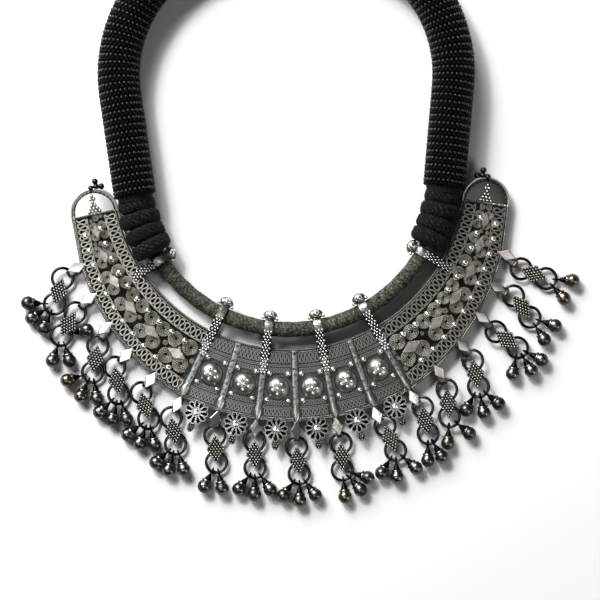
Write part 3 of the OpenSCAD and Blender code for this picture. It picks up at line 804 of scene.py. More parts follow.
# %% Domes with their grains
DOME_R, DOME_H, DOME_RING_R = 5.0, 3.6, 85.4
GRAINS_OUT = 2.15
sphere_r = (DOME_R ** 2 + DOME_H ** 2) / 2 / DOME_H
rise = np.linspace(np.arcsin(1 - DOME_H / sphere_r), np.pi / 2, 12)[1:-1]
arch = np.stack([sphere_r * np.cos(rise), sphere_r * np.sin(rise) - sphere_r + DOME_H], -1)
dome = wheel([[0, 0], [DOME_R, 0], *arch, [0, DOME_H]], 36)
foot = worn(tube(polar(DOME_R, np.arange(0, 360, 7.5), 0.12), 0.18, closed=True), 0, 0.3)
grains_z = np.sqrt((sphere_r + 0.3) ** 2 - GRAINS_OUT ** 2) - sphere_r + DOME_H
grains = np.array([[0, 0, DOME_H + 0.35], *polar(GRAINS_OUT, np.arange(5) * 72 + 18.0, grains_z)])
grains = worn(copies(ball(6, 12), grains, sizes=[1.05] + [0.8] * 5), 0.1, 0.9)
spots, way = polar(DOME_RING_R, panels, PLATE_TOP), facing(panels)
put("domes", joined(copies(dome, spots, way), copies(foot, spots)), dome_silver, sharp=35)
put("dome_grains", copies(grains, spots, way), grain_silver)
spots = [polar(r, panels + to_side, PLATE_TOP) for r in (79.6, 90.4) for to_side in (-2.7, 2.7)]
put("panel_balls", copies(footed_ball, np.concatenate(spots), sizes=1.2), grain_silver)
report("dome", "panel_balls")


# %% Hammered bars and their leaves
def bar(start, end, half=1.2, height=1.15):
    """A rod beaten flat, along x from start to end: a boxy tube whose width is two small waves along it and
    whose top is uneven. It is rubbed most at its edges, as the square of the distance from its middle."""
    x = np.arange(start, end, 0.45)
    wide = half * (1 + 0.025 * np.sin(x * 1.9) + 0.02 * np.sin(x * 4.3 + 1))
    points, faces, _ = tube(xyz(x, 0, height / 2), wide, height / 2, sides=14, side=[0, 1, 0], square=0.55)
    top = np.clip(points[:, 2] / height, 0, 1)
    points = points + np.outer(top * uneven(points, 2.2, int(start * 10)) * 0.05, [0, 0, 1.0])
    edge = np.abs(points[:, 1]) / half
    return points, faces, np.clip(0.5 + 0.4 * edge ** 2 + 0.2 * uneven(points, 1.3, 5), 0, 1) * top


def leaf(start, length, half=1.4, height=0.6):
    """A small ridged leaf: a tube with a section close to a diamond, as wide as half * sin(pi s) ** 0.7."""
    s = np.linspace(0.03, 0.97, 14)
    swell = np.sin(np.pi * s)
    shape = tube(xyz(start + length * s, 0, 0.55), half * swell ** 0.7, height * (0.4 + 0.6 * swell),
                 sides=8, side=[0, 1, 0], square=1.6)
    return worn(shape, 0.3, 1.0)


bars, leaves = [], []
for k in range(-BARS_A_SIDE, BARS_A_SIDE + 1):
    start = 73.6 if k % 2 else 70.2
    bars.append(copies(bar(start, 93.5), [0, 0, PLATE_TOP], facing(k * BAR_STEP)))
    leaves.append(copies(leaf(91.6, 7.4), [0, 0, PLATE_TOP + 0.35], facing(k * BAR_STEP)))
put("bars", joined(*bars), bar_silver, sharp=50)
put("leaves", joined(*leaves), leaf_silver, sharp=50)
report("bars", "leaves")

# %% [markdown]
# ## Flowers along the lower edge
# A flower is eleven loops of fine wire round a bright stud, soldered on a black backing that follows the
# petals. Below it hangs a small dark plate, pointed at its end and covered with eight grains. One petal is
# a closed loop that is narrow at the stud and wide outside, and the flower is that loop turned eleven times.

# %% One flower
PETALS, FLOWER_RING_R = 11, 101.8


def petal(inside=1.1, outside=4.75, half=0.86):
    """A closed loop: outwards it goes as (1 - cos t) / 2, and to the side as sin t, wider on the outside."""
    t = full_turn(22)
    out = (1 - np.cos(t)) / 2
    return xyz(inside + (outside - inside) * out, half * np.sin(t) * (0.2 + 1.2 * out))


petals = copies(worn(tube(petal(), 0.18, 0.28, closed=True), 0.2, 0.85), np.tile([0, 0, 0.85], (PETALS, 1)),
                turned(z=np.arange(PETALS) * 360 / PETALS))
f = full_turn(80)
scallop = 3.2 + 1.3 * np.abs(np.cos(f * PETALS / 2)) ** 0.8  # the backing's radius, wide at each petal
backing = slab(np.stack([scallop * np.cos(f), scallop * np.sin(f)], -1),
               [(0.97, -0.3), (1.0, 0.0), (1.0, 0.4), (0.97, 0.55)])
stud = wheel([[0, 0.5], [1.25, 0.5], [1.3, 1.0], [1.15, 1.25], [0.9, 1.33], [0, 1.35]], 18)
print("a flower has", len(petals[1]) + len(backing[1]) + len(stud[1]), "faces")

# %% Flowers and their drops
drop = copies(ball(5, 4), [0, 0, 0], turned(y=90))
drop = worn(stretched(drop, (2.4, 1.4, 0.6), (6.1, 0, -0.1)), 0.0, 0.3)
grains = np.array([[5.0, -0.6], [5.0, 0.6], [5.9, -1.05], [5.9, 0.0], [5.9, 1.05], [6.8, -0.5], [6.8, 0.5],
                   [7.9, 0]])
grains = copies(ball(4, 8), xyz(*grains.T, 0.35), sizes=0.55)
spots = polar(FLOWER_RING_R, panels, PLATE_TOP + 0.1)
for name, shape, finish, sharp in (("petals", petals, grain_silver, 60),
                                   ("backs", joined(backing, drop), ring_silver, 40),
                                   ("studs", worn(stud, 0.6, 1.0), grain_silver, 60),
                                   ("drops", grains, bell_silver, 60)):
    put(f"flower_{name}", copies(shape, spots, way), finish, sharp=sharp)
report("flower")

# %% [markdown]
# ## Tabs and hooks
# Each of the seventeen corners carries a rhombic tab. A strip below it is curled round the drop's wire.
# The strip's path is two straight legs and a half circle, and its section is a flat box with soft edges.
# The tabs at the bars are tipped one by one, since that decides which of them catches the light.

# %% The table of drops
# how far the hook reaches in mm, and in degrees the hook's swing, the link's turn and how far it leans
hook_reach, hook_swing, link_turn, link_lean = np.array([
    [4.8, 10, 49, 8], [5.4, 11, 27, 12], [5.2, 22, 39, 0], [4.2, -2, 50, 16], [4.2, -3, 50, 16],
    [5.2, 0, 35, 6], [5.8, 9, 20, 0], [4.6, 1, 9, 0], [6.2, -1, 4, 0], [6.6, 1, -8, 0], [4.8, 11, 3, 10],
    [4.6, 9, -18, 16], [5.6, -11, -32, 18], [4.8, -8, -33, 16], [5.8, -7, 0, 8], [5.4, 1, -24, 10],
    [5.6, -18, -1, 0]]).T
# the turn of each bell on its drop's lower ring
BELLS = [[-75, -41, -7], [133, 12, 50], [-61, -15, 21], [-54, -22, 10], [-69, -36, -3], [-56, -24, 9],
         [-30, 9], [-39, -3, 34], [-42, -5, 32], [3, 40, 71], [-55, -20, 27], [-12, 20], [-9, 45],
         [-41, -1, 38], [-65, -23, 10], [-5, 34], [-27, 17]]
print(len(BELLS), "drops with", sum(len(b) for b in BELLS), "bells")

# %% Tabs and hooks
HOOK_Z, HOOK_R, HOOK_T, UNDER_PLATE = 2.2, 1.25, 0.55, 1.6
BAR_TAB_TIPS = [4, -3, 2, -1, 4, 8, 8]
# Painted light: each bar tab's face gets its own brightness, a painted highlight on some and painted shade on
# others.
BAR_TAB_PAINTED_LIGHT = [0.9, 0.15, 0.4, 0.25, 0.5, 1.0, 1.0]


def ribbon(outline, width, thickness):
    """A strip along a path in the x-z plane: a boxy tube, width wide along y."""
    x, z = np.asarray(outline).T
    return tube(xyz(x, 0, z), width / 2, thickness / 2, sides=12, side=[0, 1, 0], square=0.5)


def hook(reach):
    """The curled strip: out along the top, half round the wire as (r cos f, r sin f), and back under the
    plate."""
    f = np.linspace(90, -90, 13)
    r = HOOK_R + HOOK_T / 2
    legs = np.linspace(-reach - UNDER_PLATE, 0, 8)[:-1]
    top, under = (np.stack([legs, np.full(7, z)], -1) for z in (r, -r))
    return np.concatenate([top, np.stack([r * cosine(f), r * sine(f)], -1), under[::-1]]) + [reach, HOOK_Z]


tabs, bar_tabs, hooks = [], [], []
for i, a in enumerate(seats):
    seat = polar(corner_r(a), a)
    tips = rng.uniform(-5, 5), rng.uniform(0, 4)  # of a tab whose tip isn't listed
    pile, face, out, hook_w = tabs, 1.0, 1.7, 2.9
    if abs(a) <= LAST_BAR:
        k = i - TABS_A_SIDE + BARS_A_SIDE
        tips = BAR_TAB_TIPS[k], 1
        pile, face, out, hook_w = bar_tabs, BAR_TAB_PAINTED_LIGHT[k], 3.3, 2.1
    pile.append(copies(rhombus(8.0, 4.6, 0.75, crown=0.2, face=face),
                       seat + polar(out, a, PLATE_TOP + 0.1), facing(a) @ turned(*tips)))
    curl = worn(ribbon(hook(hook_reach[i]), hook_w, HOOK_T), 0, 0.5)
    hooks.append(copies(curl, seat, facing(a + hook_swing[i])))
put("tabs", joined(*tabs), plate_silver, sharp=20)
put("bar_tabs", joined(*bar_tabs), tab_silver, sharp=20)
put("hooks", joined(*hooks), bell_silver, sharp=50)
report("tabs", "bar_tabs", "hooks")

# %% [markdown]
# ## End caps
# The two ends are closed with half-round caps of plain sheet. A wire and a twisted wire run round each, a
# bright twisted wire crosses its base, a small pyramid of grains stands on it and four dark balls sit on
# the top. Both caps are the same silver: the left one is coloured pale, a painted highlight for the light it
# mirrors, and the right one dark, a painted shade.

# %% One cap
CAP_R, CAP_RISE = (CAP_OUTER_R - INNER_R) / 2, 1.2
f = np.linspace(0, 180, 33)
outline = np.concatenate([[[CAP_R, 0]], np.stack([CAP_R * cosine(f), CAP_R * sine(f) + CAP_RISE], -1),
                          [[-CAP_R, 0]]])
sheet = slab(outline, [(0.995, 0.02), (1.0, 0.06), (1.0, 0.86), (0.99, 0.9)], 0.6)
rim = xyz(*(outline * 0.955).T, 1.15)
inner_rim = rim * [0.89, 0.89, 0.95]
base = xyz(np.linspace(-CAP_R, CAP_R, 120), 0.25, 1.2)
PYRAMID = (4, 3, 2, 1, 2, 1)
motif = np.array([[(j - (count - 1) / 2) * 1.4, 1.4 + 1.25 * row, 1.15]
                  for row, count in enumerate(PYRAMID) for j in range(count)])
four = np.array([[-2.1, 0.3, 1.0], [0, 0.6, 1.1], [2.1, 0.3, 1.0], [0, 2.7, 1.1]])
four += [-2.6, CAP_RISE + CAP_R - 0.35, 0]
print("a cap has", len(motif), "grains and", len(four), "balls")


# %% Both end caps
def on_end(side, points):
    """Points of the drawn cap, moved to one end of the collar; on the left the cap is a mirror image."""
    flip = np.diag([1.0, side, 1.0])
    return points @ (facing(side * END_ANGLE) @ flip).T + polar(INNER_R + CAP_R, side * END_ANGLE, PLATE_Z)


cap_wires, cap_grains, cap_balls = [], [], []
for side, label in SIDES:
    moved = on_end(side, sheet[0]), *sheet[1:]
    put(f"cap_sheet_{label}", moved if side > 0 else inside_out(moved), cap_painted_light[label], sharp=30)
    cap_wires += [tube(on_end(side, rim)[::side], 0.5, 0.6, sides=8),
                  twisted(on_end(side, base)[::side], 0.27, 1.5),
                  worn(twisted(on_end(side, inner_rim)[::side], 0.2, 1.1), -0.2, 0.7)]
    cap_grains += [copies(ball(4, 10), on_end(side, motif), sizes=0.55),
                   copies(worn(foot_ring(0.6, 0.15), -0.5, -0.2), on_end(side, motif - [0, 0, 0.2]),
                          facing(side * END_ANGLE))]
    cap_balls.append(copies(ball(7, 16), on_end(side, four), sizes=1.25))
put("cap_wires", joined(*cap_wires), wire_silver)
put("cap_grains", joined(*cap_grains), grain_silver)
put("cap_balls", joined(*cap_balls), ring_silver)
report("cap")

# %% [markdown]
# ## Slings over the cord
# Six straps go from the collar up over the cord and back under it. The strap's path is worked out as a
# belt round a wheel is: a straight leg that touches the circle, the bend, and a second leg. Grains set like
# bricks, three and two to a row, cover the upper leg, and a head like a bud with a bright ball stands where
# the strap turns down.

# %% The strap's path
STRAP_W, STRAP_T, GAP = 3.6, 0.75, 0.3
CORD_Z = CORD_R + GAP + STRAP_T + 0.1
BELT_R = CORD_R + GAP + STRAP_T / 2
LEG_X = 12.6
upper_y, lower_y = PLATE_TOP + 1.1 - STRAP_T / 2 - CORD_Z, PLATE_Z - CORD_Z - STRAP_T / 2 + 0.1


def touch(x, y):
    """Angle at which a line from (x, y), at a distance d, touches the belt's circle: atan2(y, x) plus
    acos(r / d), with r the circle's radius."""
    return np.degrees(np.arctan2(y, x) + np.arccos(BELT_R / np.hypot(x, y)))


f = np.linspace(touch(LEG_X, upper_y), 360 - touch(LEG_X, -lower_y), 28)
bend = BELT_R * np.stack([cosine(f), sine(f)], -1)
upper = np.linspace([LEG_X, upper_y], bend[0], 16)[:-1]
lower = np.linspace(bend[-1], [LEG_X, lower_y], 12)[1:]
points, faces, wear_and_painted_light = ribbon(np.concatenate([upper, bend, lower])[::-1], STRAP_W, STRAP_T)
strap = points, faces, np.where(points[:, 0] > 2.5, 0.0, 0.6) * wear_and_painted_light
leg = bend[0] - upper[0]
print("the upper leg is", np.linalg.norm(leg).round(2), "mm long")

# %% Slings
SLING_ANGLES = (-58.1, -27.6, -9.2, 9.2, 27.6, 58.1)
ROW_STEP, ACROSS, GRAIN_LIFT = 1.14, 1.3, 0.62
leg_l = np.linalg.norm(leg)
lift = GRAIN_LIFT * np.array([leg[1], -leg[0]]) / leg_l
brick = []
for row, along in enumerate(np.arange(-5.2, leg_l + 0.4, ROW_STEP)):
    x, z = upper[0] + leg * along / leg_l + lift if along > 0 else (LEG_X - along, upper_y + lift[1])
    brick += [[x, y * ACROSS, z] for y in ((-1, 0, 1) if row % 2 else (-0.5, 0.5))]
brick = np.array(brick)
head_x = -CORD_R - GAP - STRAP_T - 1.2
head = worn(stretched(ball(7, 20), (2.0, 2.9, 1.5), (head_x + 0.4, 0, 1.9)), 0, 0.7)
# x, y, z and size of the bright ball on the head and the three small ones round it
crown = np.array([[head_x, 0, 3.2, 1.45], [head_x + 1.3, -2.8, 2.4, 0.75], [head_x + 1.3, 2.8, 2.4, 0.75],
                  [head_x - 1.7, 0, 2.2, 0.7]])
straps, strap_grains = [], []
for a in SLING_ANGLES:
    spot, way = polar(CORD_RING_R, a, CORD_Z), facing(a)
    straps.append(copies(joined(strap, head), spot, way))
    grains = brick if abs(a) < 30 else brick[brick[:, 0] < LEG_X + 0.5]
    strap_grains += [copies(ball(4, 8), grains @ way.T + spot, way, 0.5),
                     copies(ball(7, 16), crown[:, :3] @ way.T + spot, way, crown[:, 3])]
put("sling_straps", joined(*straps), bar_silver, sharp=50)
put("sling_grains", joined(*strap_grains), grain_silver)
report("sling")

# %% [markdown]
# ## The drops
# A drop is two rings of thick dark wire, joined by a rhombic plate that is soldered on both. The plate is
# covered with grains in rows along its edges, as on a chequered board seen from its corner. The rings are
# one piece and the plate with its grains another, since the grains are rubbed much brighter. The rings are
# drawn of thinner wire than in the CAD. All places come from the same few angles as there: the swing of the
# hook, the turn and roll of the link, and the turn of each bell.

# %% Places of the drops
RING_R, LINK_L = 4.05, 10.8
DIP_SHARE, DRAWN_R, DRAWN_WIRE = 0.75, 4.13, 0.6
EYE_R, EYE_WIRE, BELL_R, BELL_L = 1.35, 0.35, 2.7, 6.65
in_hook = link_turn - hook_swing
roll = np.where(in_hook > 0, -link_lean, link_lean)
# the lower ring's middle is high enough for an eye under its wire, also where a rolled ring dips
low_z = EYE_R + EYE_WIRE + 0.1 + DIP_SHARE * RING_R * sine(link_lean)
tilt = np.degrees(np.arcsin((HOOK_Z - RING_R * sine(in_hook) * sine(roll) - low_z)
                            / (LINK_L + RING_R * cosine(in_hook))))
heading = seats + link_turn - 90
# the place on the upper ring that lies in the hook, and where that hook is
hooked = RING_R * xyz(-cosine(in_hook), sine(in_hook))
hook_points = polar(corner_r(seats), seats) + polar(hook_reach, seats + hook_swing) + [0, 0, HOOK_Z]
link_turns = turned(roll, tilt, heading)


def on_link(i, points):
    """Where points of link i lie: turned about the wire in the hook, and moved there."""
    return (points - hooked[i]) @ link_turns[i].T + hook_points[i]


print("links tilt by", tilt.min().round(1), "to", tilt.max().round(1), "degrees")

# %% Links
LOZENGE_L, LOZENGE_W, COVERED = 11.6, 7.2, 0.86


def ring(x):
    """One ring of thick wire round (x, 0): x + r cos f and r sin f."""
    f = full_turn(36)
    return tube(xyz(x + DRAWN_R * np.cos(f), DRAWN_R * np.sin(f)), DRAWN_WIRE, sides=10, closed=True)


link_plate = copies(rhombus(LOZENGE_L, LOZENGE_W, 1.3, rim=0.3, face=0.2), [LINK_L / 2, 0, -0.3])
u, v = (w.ravel() for w in np.meshgrid(np.linspace(-1, 1, 6), np.linspace(-1, 1, 6)))
lattice = xyz((u + v) * LOZENGE_L / 4 * COVERED + LINK_L / 2, (u - v) * LOZENGE_W / 4 * COVERED, 1.15)
link = joined(worn(ring(0), 0, 0.8), worn(ring(LINK_L), 0, 0.8))
link_grains = joined(worn(link_plate, -0.5, 0.1), copies(ball(4, 8), lattice, sizes=0.46))
for i in range(TABS):
    name, node = f"drop_{i + 1:02d}", f"link_{i + 1:02d}"
    put(name, (on_link(i, link[0]), *link[1:]), ring_silver, [node])
    put(f"{name}_grains", (on_link(i, link_grains[0]), *link_grains[1:]), lattice_silver)
report("drop")

# %% [markdown]
# A bell is two half balls of thin silver soldered together, so a fine seam runs round its middle. A bright
# washer and a short neck join it to its eye. All of it but the eye is one profile turned on its axis.

# %% One bell
t = np.linspace(-90, 90, 19)
shell = np.stack([BELL_R * cosine(t), BELL_R * sine(t)], -1)
seam = [[BELL_R * 0.999, -0.12], [BELL_R + 0.004, -0.06], [BELL_R + 0.004, 0.06], [BELL_R * 0.999, 0.12]]
washer = [[1.9, 2.1], [2.2, 2.25], [2.2, 2.6], [1.9, 2.8]]
neck = [[1.5, 2.9], [1.35, 3.2], [1.1, 4.0], [0.7, 5.0], [0.5, 5.35], [0, 5.4]]
upper_half = shell[10:]
profile = np.concatenate([shell[:9], seam, upper_half[upper_half[:, 0] > 1.75], washer, neck])
points, faces, _ = wheel(profile, 20)
height = points[:, 2]
bright = np.where((height > 2.15) & (height < 2.9), 1.0, np.where(height >= 2.9, 0.0, 0.45))
bell = inside_out(stretched((points, faces, bright), (1, 1, -1), (0, 0, BELL_L)))
f = full_turn(16)
eye = tube(xyz(EYE_R * np.cos(f), 0, EYE_R * np.sin(f)), EYE_WIRE, closed=True, side=[0, 1, 0])
bell = joined(copies(bell, [0, 0, 0], turned(y=90)), worn(eye, 0.0, 0.5))
print("a bell has", len(bell[1]), "faces")

# %% All the bells
for i, angles in enumerate(BELLS):
    b = np.array(angles, float)
    eyes = on_link(i, polar(RING_R, b + 90) + [LINK_L, 0, 0])
    pitch = np.degrees(np.arcsin((BELL_R - eyes[:, 2]) / BELL_L))
    put(f"drop_{i + 1:02d}_bells", copies(bell, eyes, turned(roll[i] * cosine(b), -pitch, heading[i] + b)),
        bell_silver, [f"bells_{i + 1:02d}"])
report("drop_02_bells", "drop")

# %% [markdown]
# ## Cotton
# The core cord is wound with thread, and each of its ends has four fat turns of soft plied cotton. The
# ridges of thread are part of the surface, a small wave added to the radius. The fibres between them are
# too fine for a mesh, so they are a bump in the material, and some thousands of loose hairs, which show
# against the paper, are thin spikes.

# %% The cotton finish
threads, given, result = new_group(
    "threads", [("Dark", COLOUR, (0.01, 0.01, 0.01, 1)), ("Light", COLOUR, (0.05, 0.05, 0.04, 1)),
                ("Fibre scale", FLOAT, 900.0)], [("Colour", COLOUR), ("Height", FLOAT)])
place = object_place(threads)
fibres = noise(threads, place, given["Fibre scale"], 4.0, 0.7)
clouds = noise(threads, place, 120.0)
# Painted shade: the colour goes dark where the mesh's value is low, between the threads, and light where it
# is high, on their tops.
light = sums(threads, "MULTIPLY_ADD", fibres, 1.3, sums(threads, "MULTIPLY_ADD", clouds, 0.16, -0.38))
light = ramp(threads, sums(threads, "MULTIPLY", light, rubbing_and_painted_light_at(threads)), 0.1, 0.75)
feed(threads, result["Colour"], mixed(threads, light, given["Dark"], given["Light"]))
feed(threads, result["Height"], fibres)


def cotton(name, dark, light, fibre_scale):
    """Matt cotton with hardly any gloss, coloured dark between the threads and lighter on their tops: painted
    shade.
    """
    material, tree, shader = new_material(name)
    yarn = with_group(tree, threads, Dark=(*dark, 1), Light=(*light, 1), Fibre_scale=fibre_scale)
    bumped(tree, shader, yarn["Height"], 0.8, 0.3)
    feed(tree, shader.inputs["Base Color"], yarn["Colour"])
    shader.inputs["Roughness"].default_value = 0.85
    shader.inputs["Specular IOR Level"].default_value = 0.15
    return material


cord_cotton = cotton("wound_thread", (0.007, 0.007, 0.005), (0.50, 0.48, 0.38), 1500.0)
wrap_cotton = cotton("soft_cotton", (0.0006, 0.0006, 0.0004), (0.12, 0.115, 0.09), 2200.0)
print("cotton finishes:", cord_cotton.name, wrap_cotton.name)


# %% The fat turns of cotton
def fat_turn(big, small, seed):
    """One turn: a ring whose section is a soft square, small to each side, pressed flat by its neighbours.
    Plied yarns run aslant over it, a wave in both angles whose phase wanders, on top of slow lumps where the
    cotton was pulled tight or left loose."""
    f, g = full_turn(150)[:, None], full_turn(44)[None, :]
    c, s = rounded(g, 0.72)

    def ring_of(r):
        """The ring's points where the section reaches r from its middle."""
        return xyz((big + r * c) * np.cos(f), (big + r * c) * np.sin(f), r * s)

    base = ring_of(small)
    ridge = 0.5 + 0.5 * np.sin(13 * g + 21 * f + 1.3 * uneven(base, 5.0, seed))
    lump, tuft = uneven(base, 6.0, seed + 50), uneven(base, 1.1, seed + 90)
    grid = ring_of(small * (1 + 0.04 * lump) - 0.12 + 0.12 * ridge + 0.08 * tuft)
    # Painted shade: the grooves between the plied yarns get the dark colour, and the ridges and tufts the
    # light one.
    return inside_out(skin(grid, np.clip(0.15 + 0.5 * ridge + 0.35 * tuft, 0, 1), closed=True))


def fuzz(points, out, length, seed, count):
    """Loose fibres: from random points of a surface, each a thin three-sided spike that leans aside. It
    points along the surface's own direction plus 0.8 times a random one."""
    rng = np.random.default_rng(seed)
    pick = rng.integers(0, len(points), count)
    z = unit(rng.normal(size=(count, 3)) * 0.8 + out[pick])
    x = unit(np.cross(z, rng.normal(size=(count, 3))))
    hair = worn(stretched(wheel([[0, -0.3], [0.045, 0.1], [0, 1.0]], 3), (1, 1, length)), 0.9, 0.9)
    return copies(hair, points[pick], np.stack([x, np.cross(z, x), z], -1), rng.uniform(0.5, 1.2, count))


WRAP_END, TURN_STEP, TURN_T, TURN_R, WRAP_Z = END_ANGLE + 0.1, 5.4, 5.9, 8.0, 8.1
for side, label in SIDES:
    turns = []
    for k in range(4):
        big = (TURN_R if k else TURN_R - 0.7) - TURN_T / 2
        a = side * (WRAP_END - TURN_STEP * k)
        seed = 10 * k + side + 1
        shape = fat_turn(big, TURN_T / 2 + 0.1, seed)
        spine = big * unit(shape[0] * [1, 1, 0])
        hairs = fuzz(shape[0], unit(shape[0] - spine), 0.8, seed, 800)
        turns.append(copies(joined(shape, hairs), polar(CORD_RING_R, a, WRAP_Z),
                            facing(a) @ turned(x=90) @ turned(y=rng.uniform(-3, 3))))
    put(f"cotton_{label}", joined(*turns), wrap_cotton, [f"wrap_{label}"])
report("cotton")

# %% The core cord
THREAD = 0.52
cord_end = WRAP_END + np.degrees((TURN_T / 2 - 0.1) / CORD_RING_R)
a = np.linspace(-cord_end, cord_end, 1000)
s, f = np.radians(a) * CORD_RING_R, full_turn(24)[None, :]
ridge = 0.5 + 0.5 * np.cos(2 * np.pi * s[:, None] / THREAD + f)
ripple = uneven(xyz(s, 0.0), 6.0, 3)[:, None]
points, faces, _ = tube(polar(CORD_RING_R, a, CORD_Z), CORD_R - 0.24 + 0.13 * ridge + 0.08 * ripple, sides=24)
streaks = uneven(xyz(s[:, None], 0.9 * f), 0.8, 4)
# Painted shade: the grooves between the wound threads get the dark colour and the ridges the light one; the
# streaks are random tone.
wear_and_painted_light = np.append(np.clip(0.45 + 0.4 * ridge + 0.18 * streaks, 0, 1), [0.2, 0.2])
round_it = points[:-2]
spine = polar(CORD_RING_R, np.degrees(np.arctan2(round_it[:, 0], -round_it[:, 1])), CORD_Z)
hairs = fuzz(round_it, unit(round_it - spine), 0.6, 2, 5000)
put("cord", joined((points, faces, wear_and_painted_light), hairs), cord_cotton, ["core_cord"])
report("cord")

# %% [markdown]
# ## Beaded ropes
# Each rope is a cotton core covered with black glass seed beads on a thread that winds round it. So the
# beads lie on one long helix: bead i stands at i / 27.5 turns round the rope, which also sets each row half
# a bead off the last. Every second row stands a little higher and is glossier. A bead is a ball of two
# dozen faces, since there are thousands of them, and its gloss is a clear coat that follows its wear.

# %% The path of a rope
ROPE_R, STRAIGHT_L, CLASP_HALF = 8.8, 41.0, 11.3
rope_start_angle = WRAP_END + np.degrees((TURN_T / 2 + 2 * GAP) / CORD_RING_R)
rope_start = polar(CORD_RING_R, rope_start_angle)[:2]
slope = np.radians(90 - rope_start_angle)
straight_on = np.array([np.sin(slope), np.cos(slope)])
bend_start = rope_start + STRAIGHT_L * straight_on
bend_r = (bend_start[0] - CLASP_HALF) / np.cos(slope)
bend_y = bend_start[1] + bend_r * np.sin(slope)
rope_l = STRAIGHT_L + bend_r * (np.pi / 2 + slope)


def rope_point(s):
    """Point at a distance s along the rope: first straight on, start + s * direction, and then round a
    circle to the clasp, (x + r cos f, y + r sin f)."""
    straight = rope_start + np.outer(np.minimum(s, STRAIGHT_L), straight_on)
    f = np.clip((s - STRAIGHT_L) / bend_r, 0, None) - slope
    curve = np.stack([CLASP_HALF + bend_r * np.cos(f), bend_y + bend_r * np.sin(f)], -1)
    return xyz(*np.where((s > STRAIGHT_L)[:, None], curve, straight).T, ROPE_R)


print("rope length:", round(float(rope_l), 1), "mm")

# %% Black glass and the core's cotton
bead_glass, tree, shader = new_material("black_glass")
smoky = ramp(tree, noise(tree, object_place(tree), 500.0), 0.4, 0.7)
feed(tree, shader.inputs["Base Color"], mixed(tree, smoky, (*grey(0.0005), 1), (*grey(0.002), 1)))
feed(tree, shader.inputs["Coat Weight"], ramp(tree, rubbing_and_painted_light_at(tree), 0.0, 1.0, 0.0, 0.6))
for label, value in (("Coat Roughness", 0.06), ("Roughness", 0.5), ("Specular IOR Level", 0.04)):
    shader.inputs[label].default_value = value
core_cotton = cotton("rope_core", grey(0.003), grey(0.010), 900.0)
print("rope finishes:", bead_glass.name, core_cotton.name)

# %% Glass beads on a core
BEAD_R, ROW_PITCH, BEADS_ROUND, FIRST_BEAD, BARE_END = 0.88, 1.4, 27.5, 0.55, 1.4
UP = np.array([0, 0, 1.0])
rng = np.random.default_rng(7)
count = int((rope_l - BARE_END) / ROW_PITCH * BEADS_ROUND)
i = np.arange(count)
distance = FIRST_BEAD + i / BEADS_ROUND * ROW_PITCH + rng.normal(0, 0.04, count)
upper_row = np.floor(i / BEADS_ROUND).astype(int) % 2 == 1
from_middle = np.minimum(ROPE_R - BEAD_R - np.where(upper_row, 0.05, 0.2), 7.2 + distance * 0.7)
middle, ahead = rope_point(distance), unit(rope_point(distance + 0.01) - rope_point(distance - 0.01))
f = 2 * np.pi * i[:, None] / BEADS_ROUND
normal = np.cross(ahead, UP) * np.cos(f) + UP * np.sin(f)
frames = np.stack([np.cross(normal, ahead), normal, ahead], -1)
s = np.linspace(-2.2, rope_l - 0.2, 100)
core_r = np.clip(7.2 + s * 0.5, 6.9, 7.7)
for side, label in SIDES:
    mirror = np.array([side, 1.0, 1.0])
    # The core's colour comes out a little lighter on its top and darker underneath, a faint painted shade.
    core = tube((rope_point(s) * mirror)[::side], core_r[::side], sides=24)
    put(f"rope_{label}_core", core, core_cotton, [f"rope_{label}"])
    points, faces, _ = copies(ball(3, 6), (middle + from_middle[:, None] * normal) * mirror,
                              frames * mirror[:, None] * mirror, BEAD_R * rng.uniform(0.93, 1.03, count))
    gloss = np.repeat(np.where(upper_row, 1.0, 0.15), len(points) // count)
    put(f"rope_{label}_beads", (points, faces, gloss), bead_glass)
print("beads on a rope:", count)
report("rope")

# %% [markdown]
# ## The clasp
# The back of the necklace can't be seen in the picture, so it gets the simplest closing that such a
# necklace has: a turned silver barrel between the two rope ends, with a bead of wire at each end.

# %% The clasp
CLASP_L = 22.0
# radius and distance from the end of the barrel
BARREL = [(0, 0), (5.4, 0), (6.0, 0.25), (6.3, 0.8), (6.3, 1.6), (5.9, 2.0), (5.9, 2.3), (6.1, 2.8),
          (6.35, 7)]
profile = [[r, on - CLASP_L / 2] for r, on in BARREL]
profile += [[6.45, 0]] + [[r, -z] for r, z in profile[::-1]]
barrel = copies(wheel(profile, 48), [0, bend_y + bend_r, ROPE_R], turned(y=90))
put("clasp_barrel", worn(barrel, 0.6, 0.7), plate_silver, ["clasp"], sharp=40)
print("all pieces:", len(triangles), "with", sum(triangles.values()), "triangles; largest:",
      max(triangles, key=triangles.get), max(triangles.values()))

# %% [markdown]
# ## Floor, light and camera
# The necklace lies on white paper. A wide soft lamp stands low at the upper left, a small one beside it puts
# a sharp spark on every ball, and a weak one at the lower right puts a second highlight opposite. Flat
# silver mirrors what hangs above it and a little further out, so two dim cards hang there: the one on the
# left makes the left cap and tabs shine white, and the one on the right is much dimmer. The cards show only
# in what mirrors them, so the shadows on the paper stay as the lamps made them. The camera looks straight
# down and is turned a little, as the necklace lies in the picture.

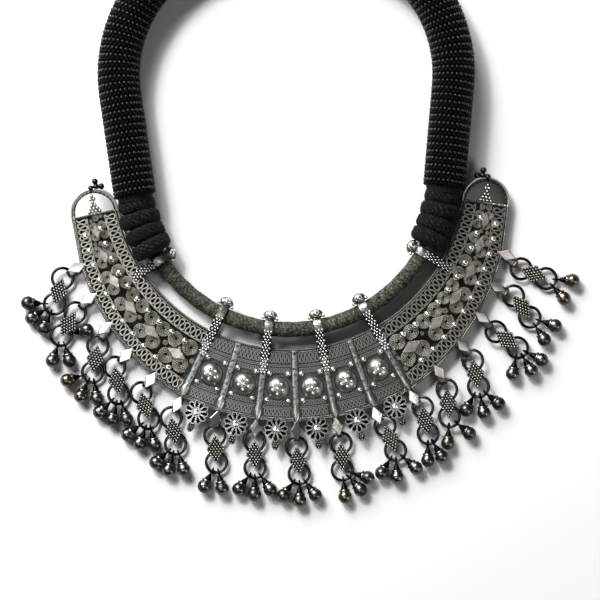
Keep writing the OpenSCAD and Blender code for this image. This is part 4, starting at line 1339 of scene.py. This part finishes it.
# %% Floor
FLOOR_HALF = 1.5
floor_mesh = bpy.data.meshes.new("floor")
paper_corners = [(x * FLOOR_HALF, y * FLOOR_HALF, 0) for x, y in ((-1, -1), (1, -1), (1, 1), (-1, 1))]
floor_mesh.from_pydata(paper_corners, [], [(0, 1, 2, 3)])
paper, _, shader = new_material("white_paper")
shader.inputs["Base Color"].default_value = (*grey(0.98), 1)
shader.inputs["Roughness"].default_value = 0.9
floor_mesh.materials.append(paper)
floor = bpy.data.objects.new("floor", floor_mesh)
bpy.context.scene.collection.objects.link(floor)
print("floor:", 2 * FLOOR_HALF, "m square")


# %% Light
def soft_light(name, place, size, power, aim=(0, -0.04, 0), mirrored_only=False):
    """A rectangular area light, size wide and high, that looks at a point. A card that is mirrored_only
    lights nothing that is matt."""
    light = bpy.data.lights.new(name, "AREA")
    light.shape, light.energy = "RECTANGLE", power
    light.size, light.size_y = size
    lamp = bpy.data.objects.new(name, light)
    lamp.location = place
    direction = Vector(aim) - Vector(place)
    lamp.rotation_euler = direction.to_track_quat("-Z", "Y").to_euler()
    lamp.visible_diffuse = not mirrored_only
    bpy.context.scene.collection.objects.link(lamp)


soft_light("key", (-0.45, 0.70, 0.58), (0.80, 0.60), 18.0)
soft_light("spark", (-0.36, 0.60, 0.65), (0.12, 0.12), 4.0)
soft_light("fill", (0.75, -0.50, 0.60), (0.35, 0.35), 1.8)
soft_light("left_card", (-0.40, -0.17, 1.2), (0.50, 0.56), 3.2, aim=(-0.40, -0.169, 0), mirrored_only=True)
soft_light("right_card", (0.33, -0.25, 1.2), (0.42, 0.44), 0.8, aim=(0.33, -0.249, 0), mirrored_only=True)
world = bpy.data.worlds.new("studio")
world.use_nodes = True
world.node_tree.nodes["Background"].inputs["Color"].default_value = (1, 1, 1, 1)
world.node_tree.nodes["Background"].inputs["Strength"].default_value = 0.045
bpy.context.scene.world = world
bpy.context.scene.view_settings.view_transform = "Standard"
print(len(bpy.data.lights), "lights")

# %% Camera
LENS, SENSOR, VIEW_W, COLLAR_H = 100.0, 36.0, 0.240, 0.004
camera = bpy.data.cameras.new("camera")
camera.lens, camera.sensor_width = LENS, SENSOR
lens = bpy.data.objects.new("camera", camera)
lens.location = (-0.0001, -0.0351, COLLAR_H + VIEW_W * LENS / SENSOR)
lens.rotation_euler = (0, 0, np.radians(-1.65))
bpy.context.scene.collection.objects.link(lens)
bpy.context.scene.camera = lens
print("camera", round(lens.location.z, 3), "m above the floor")
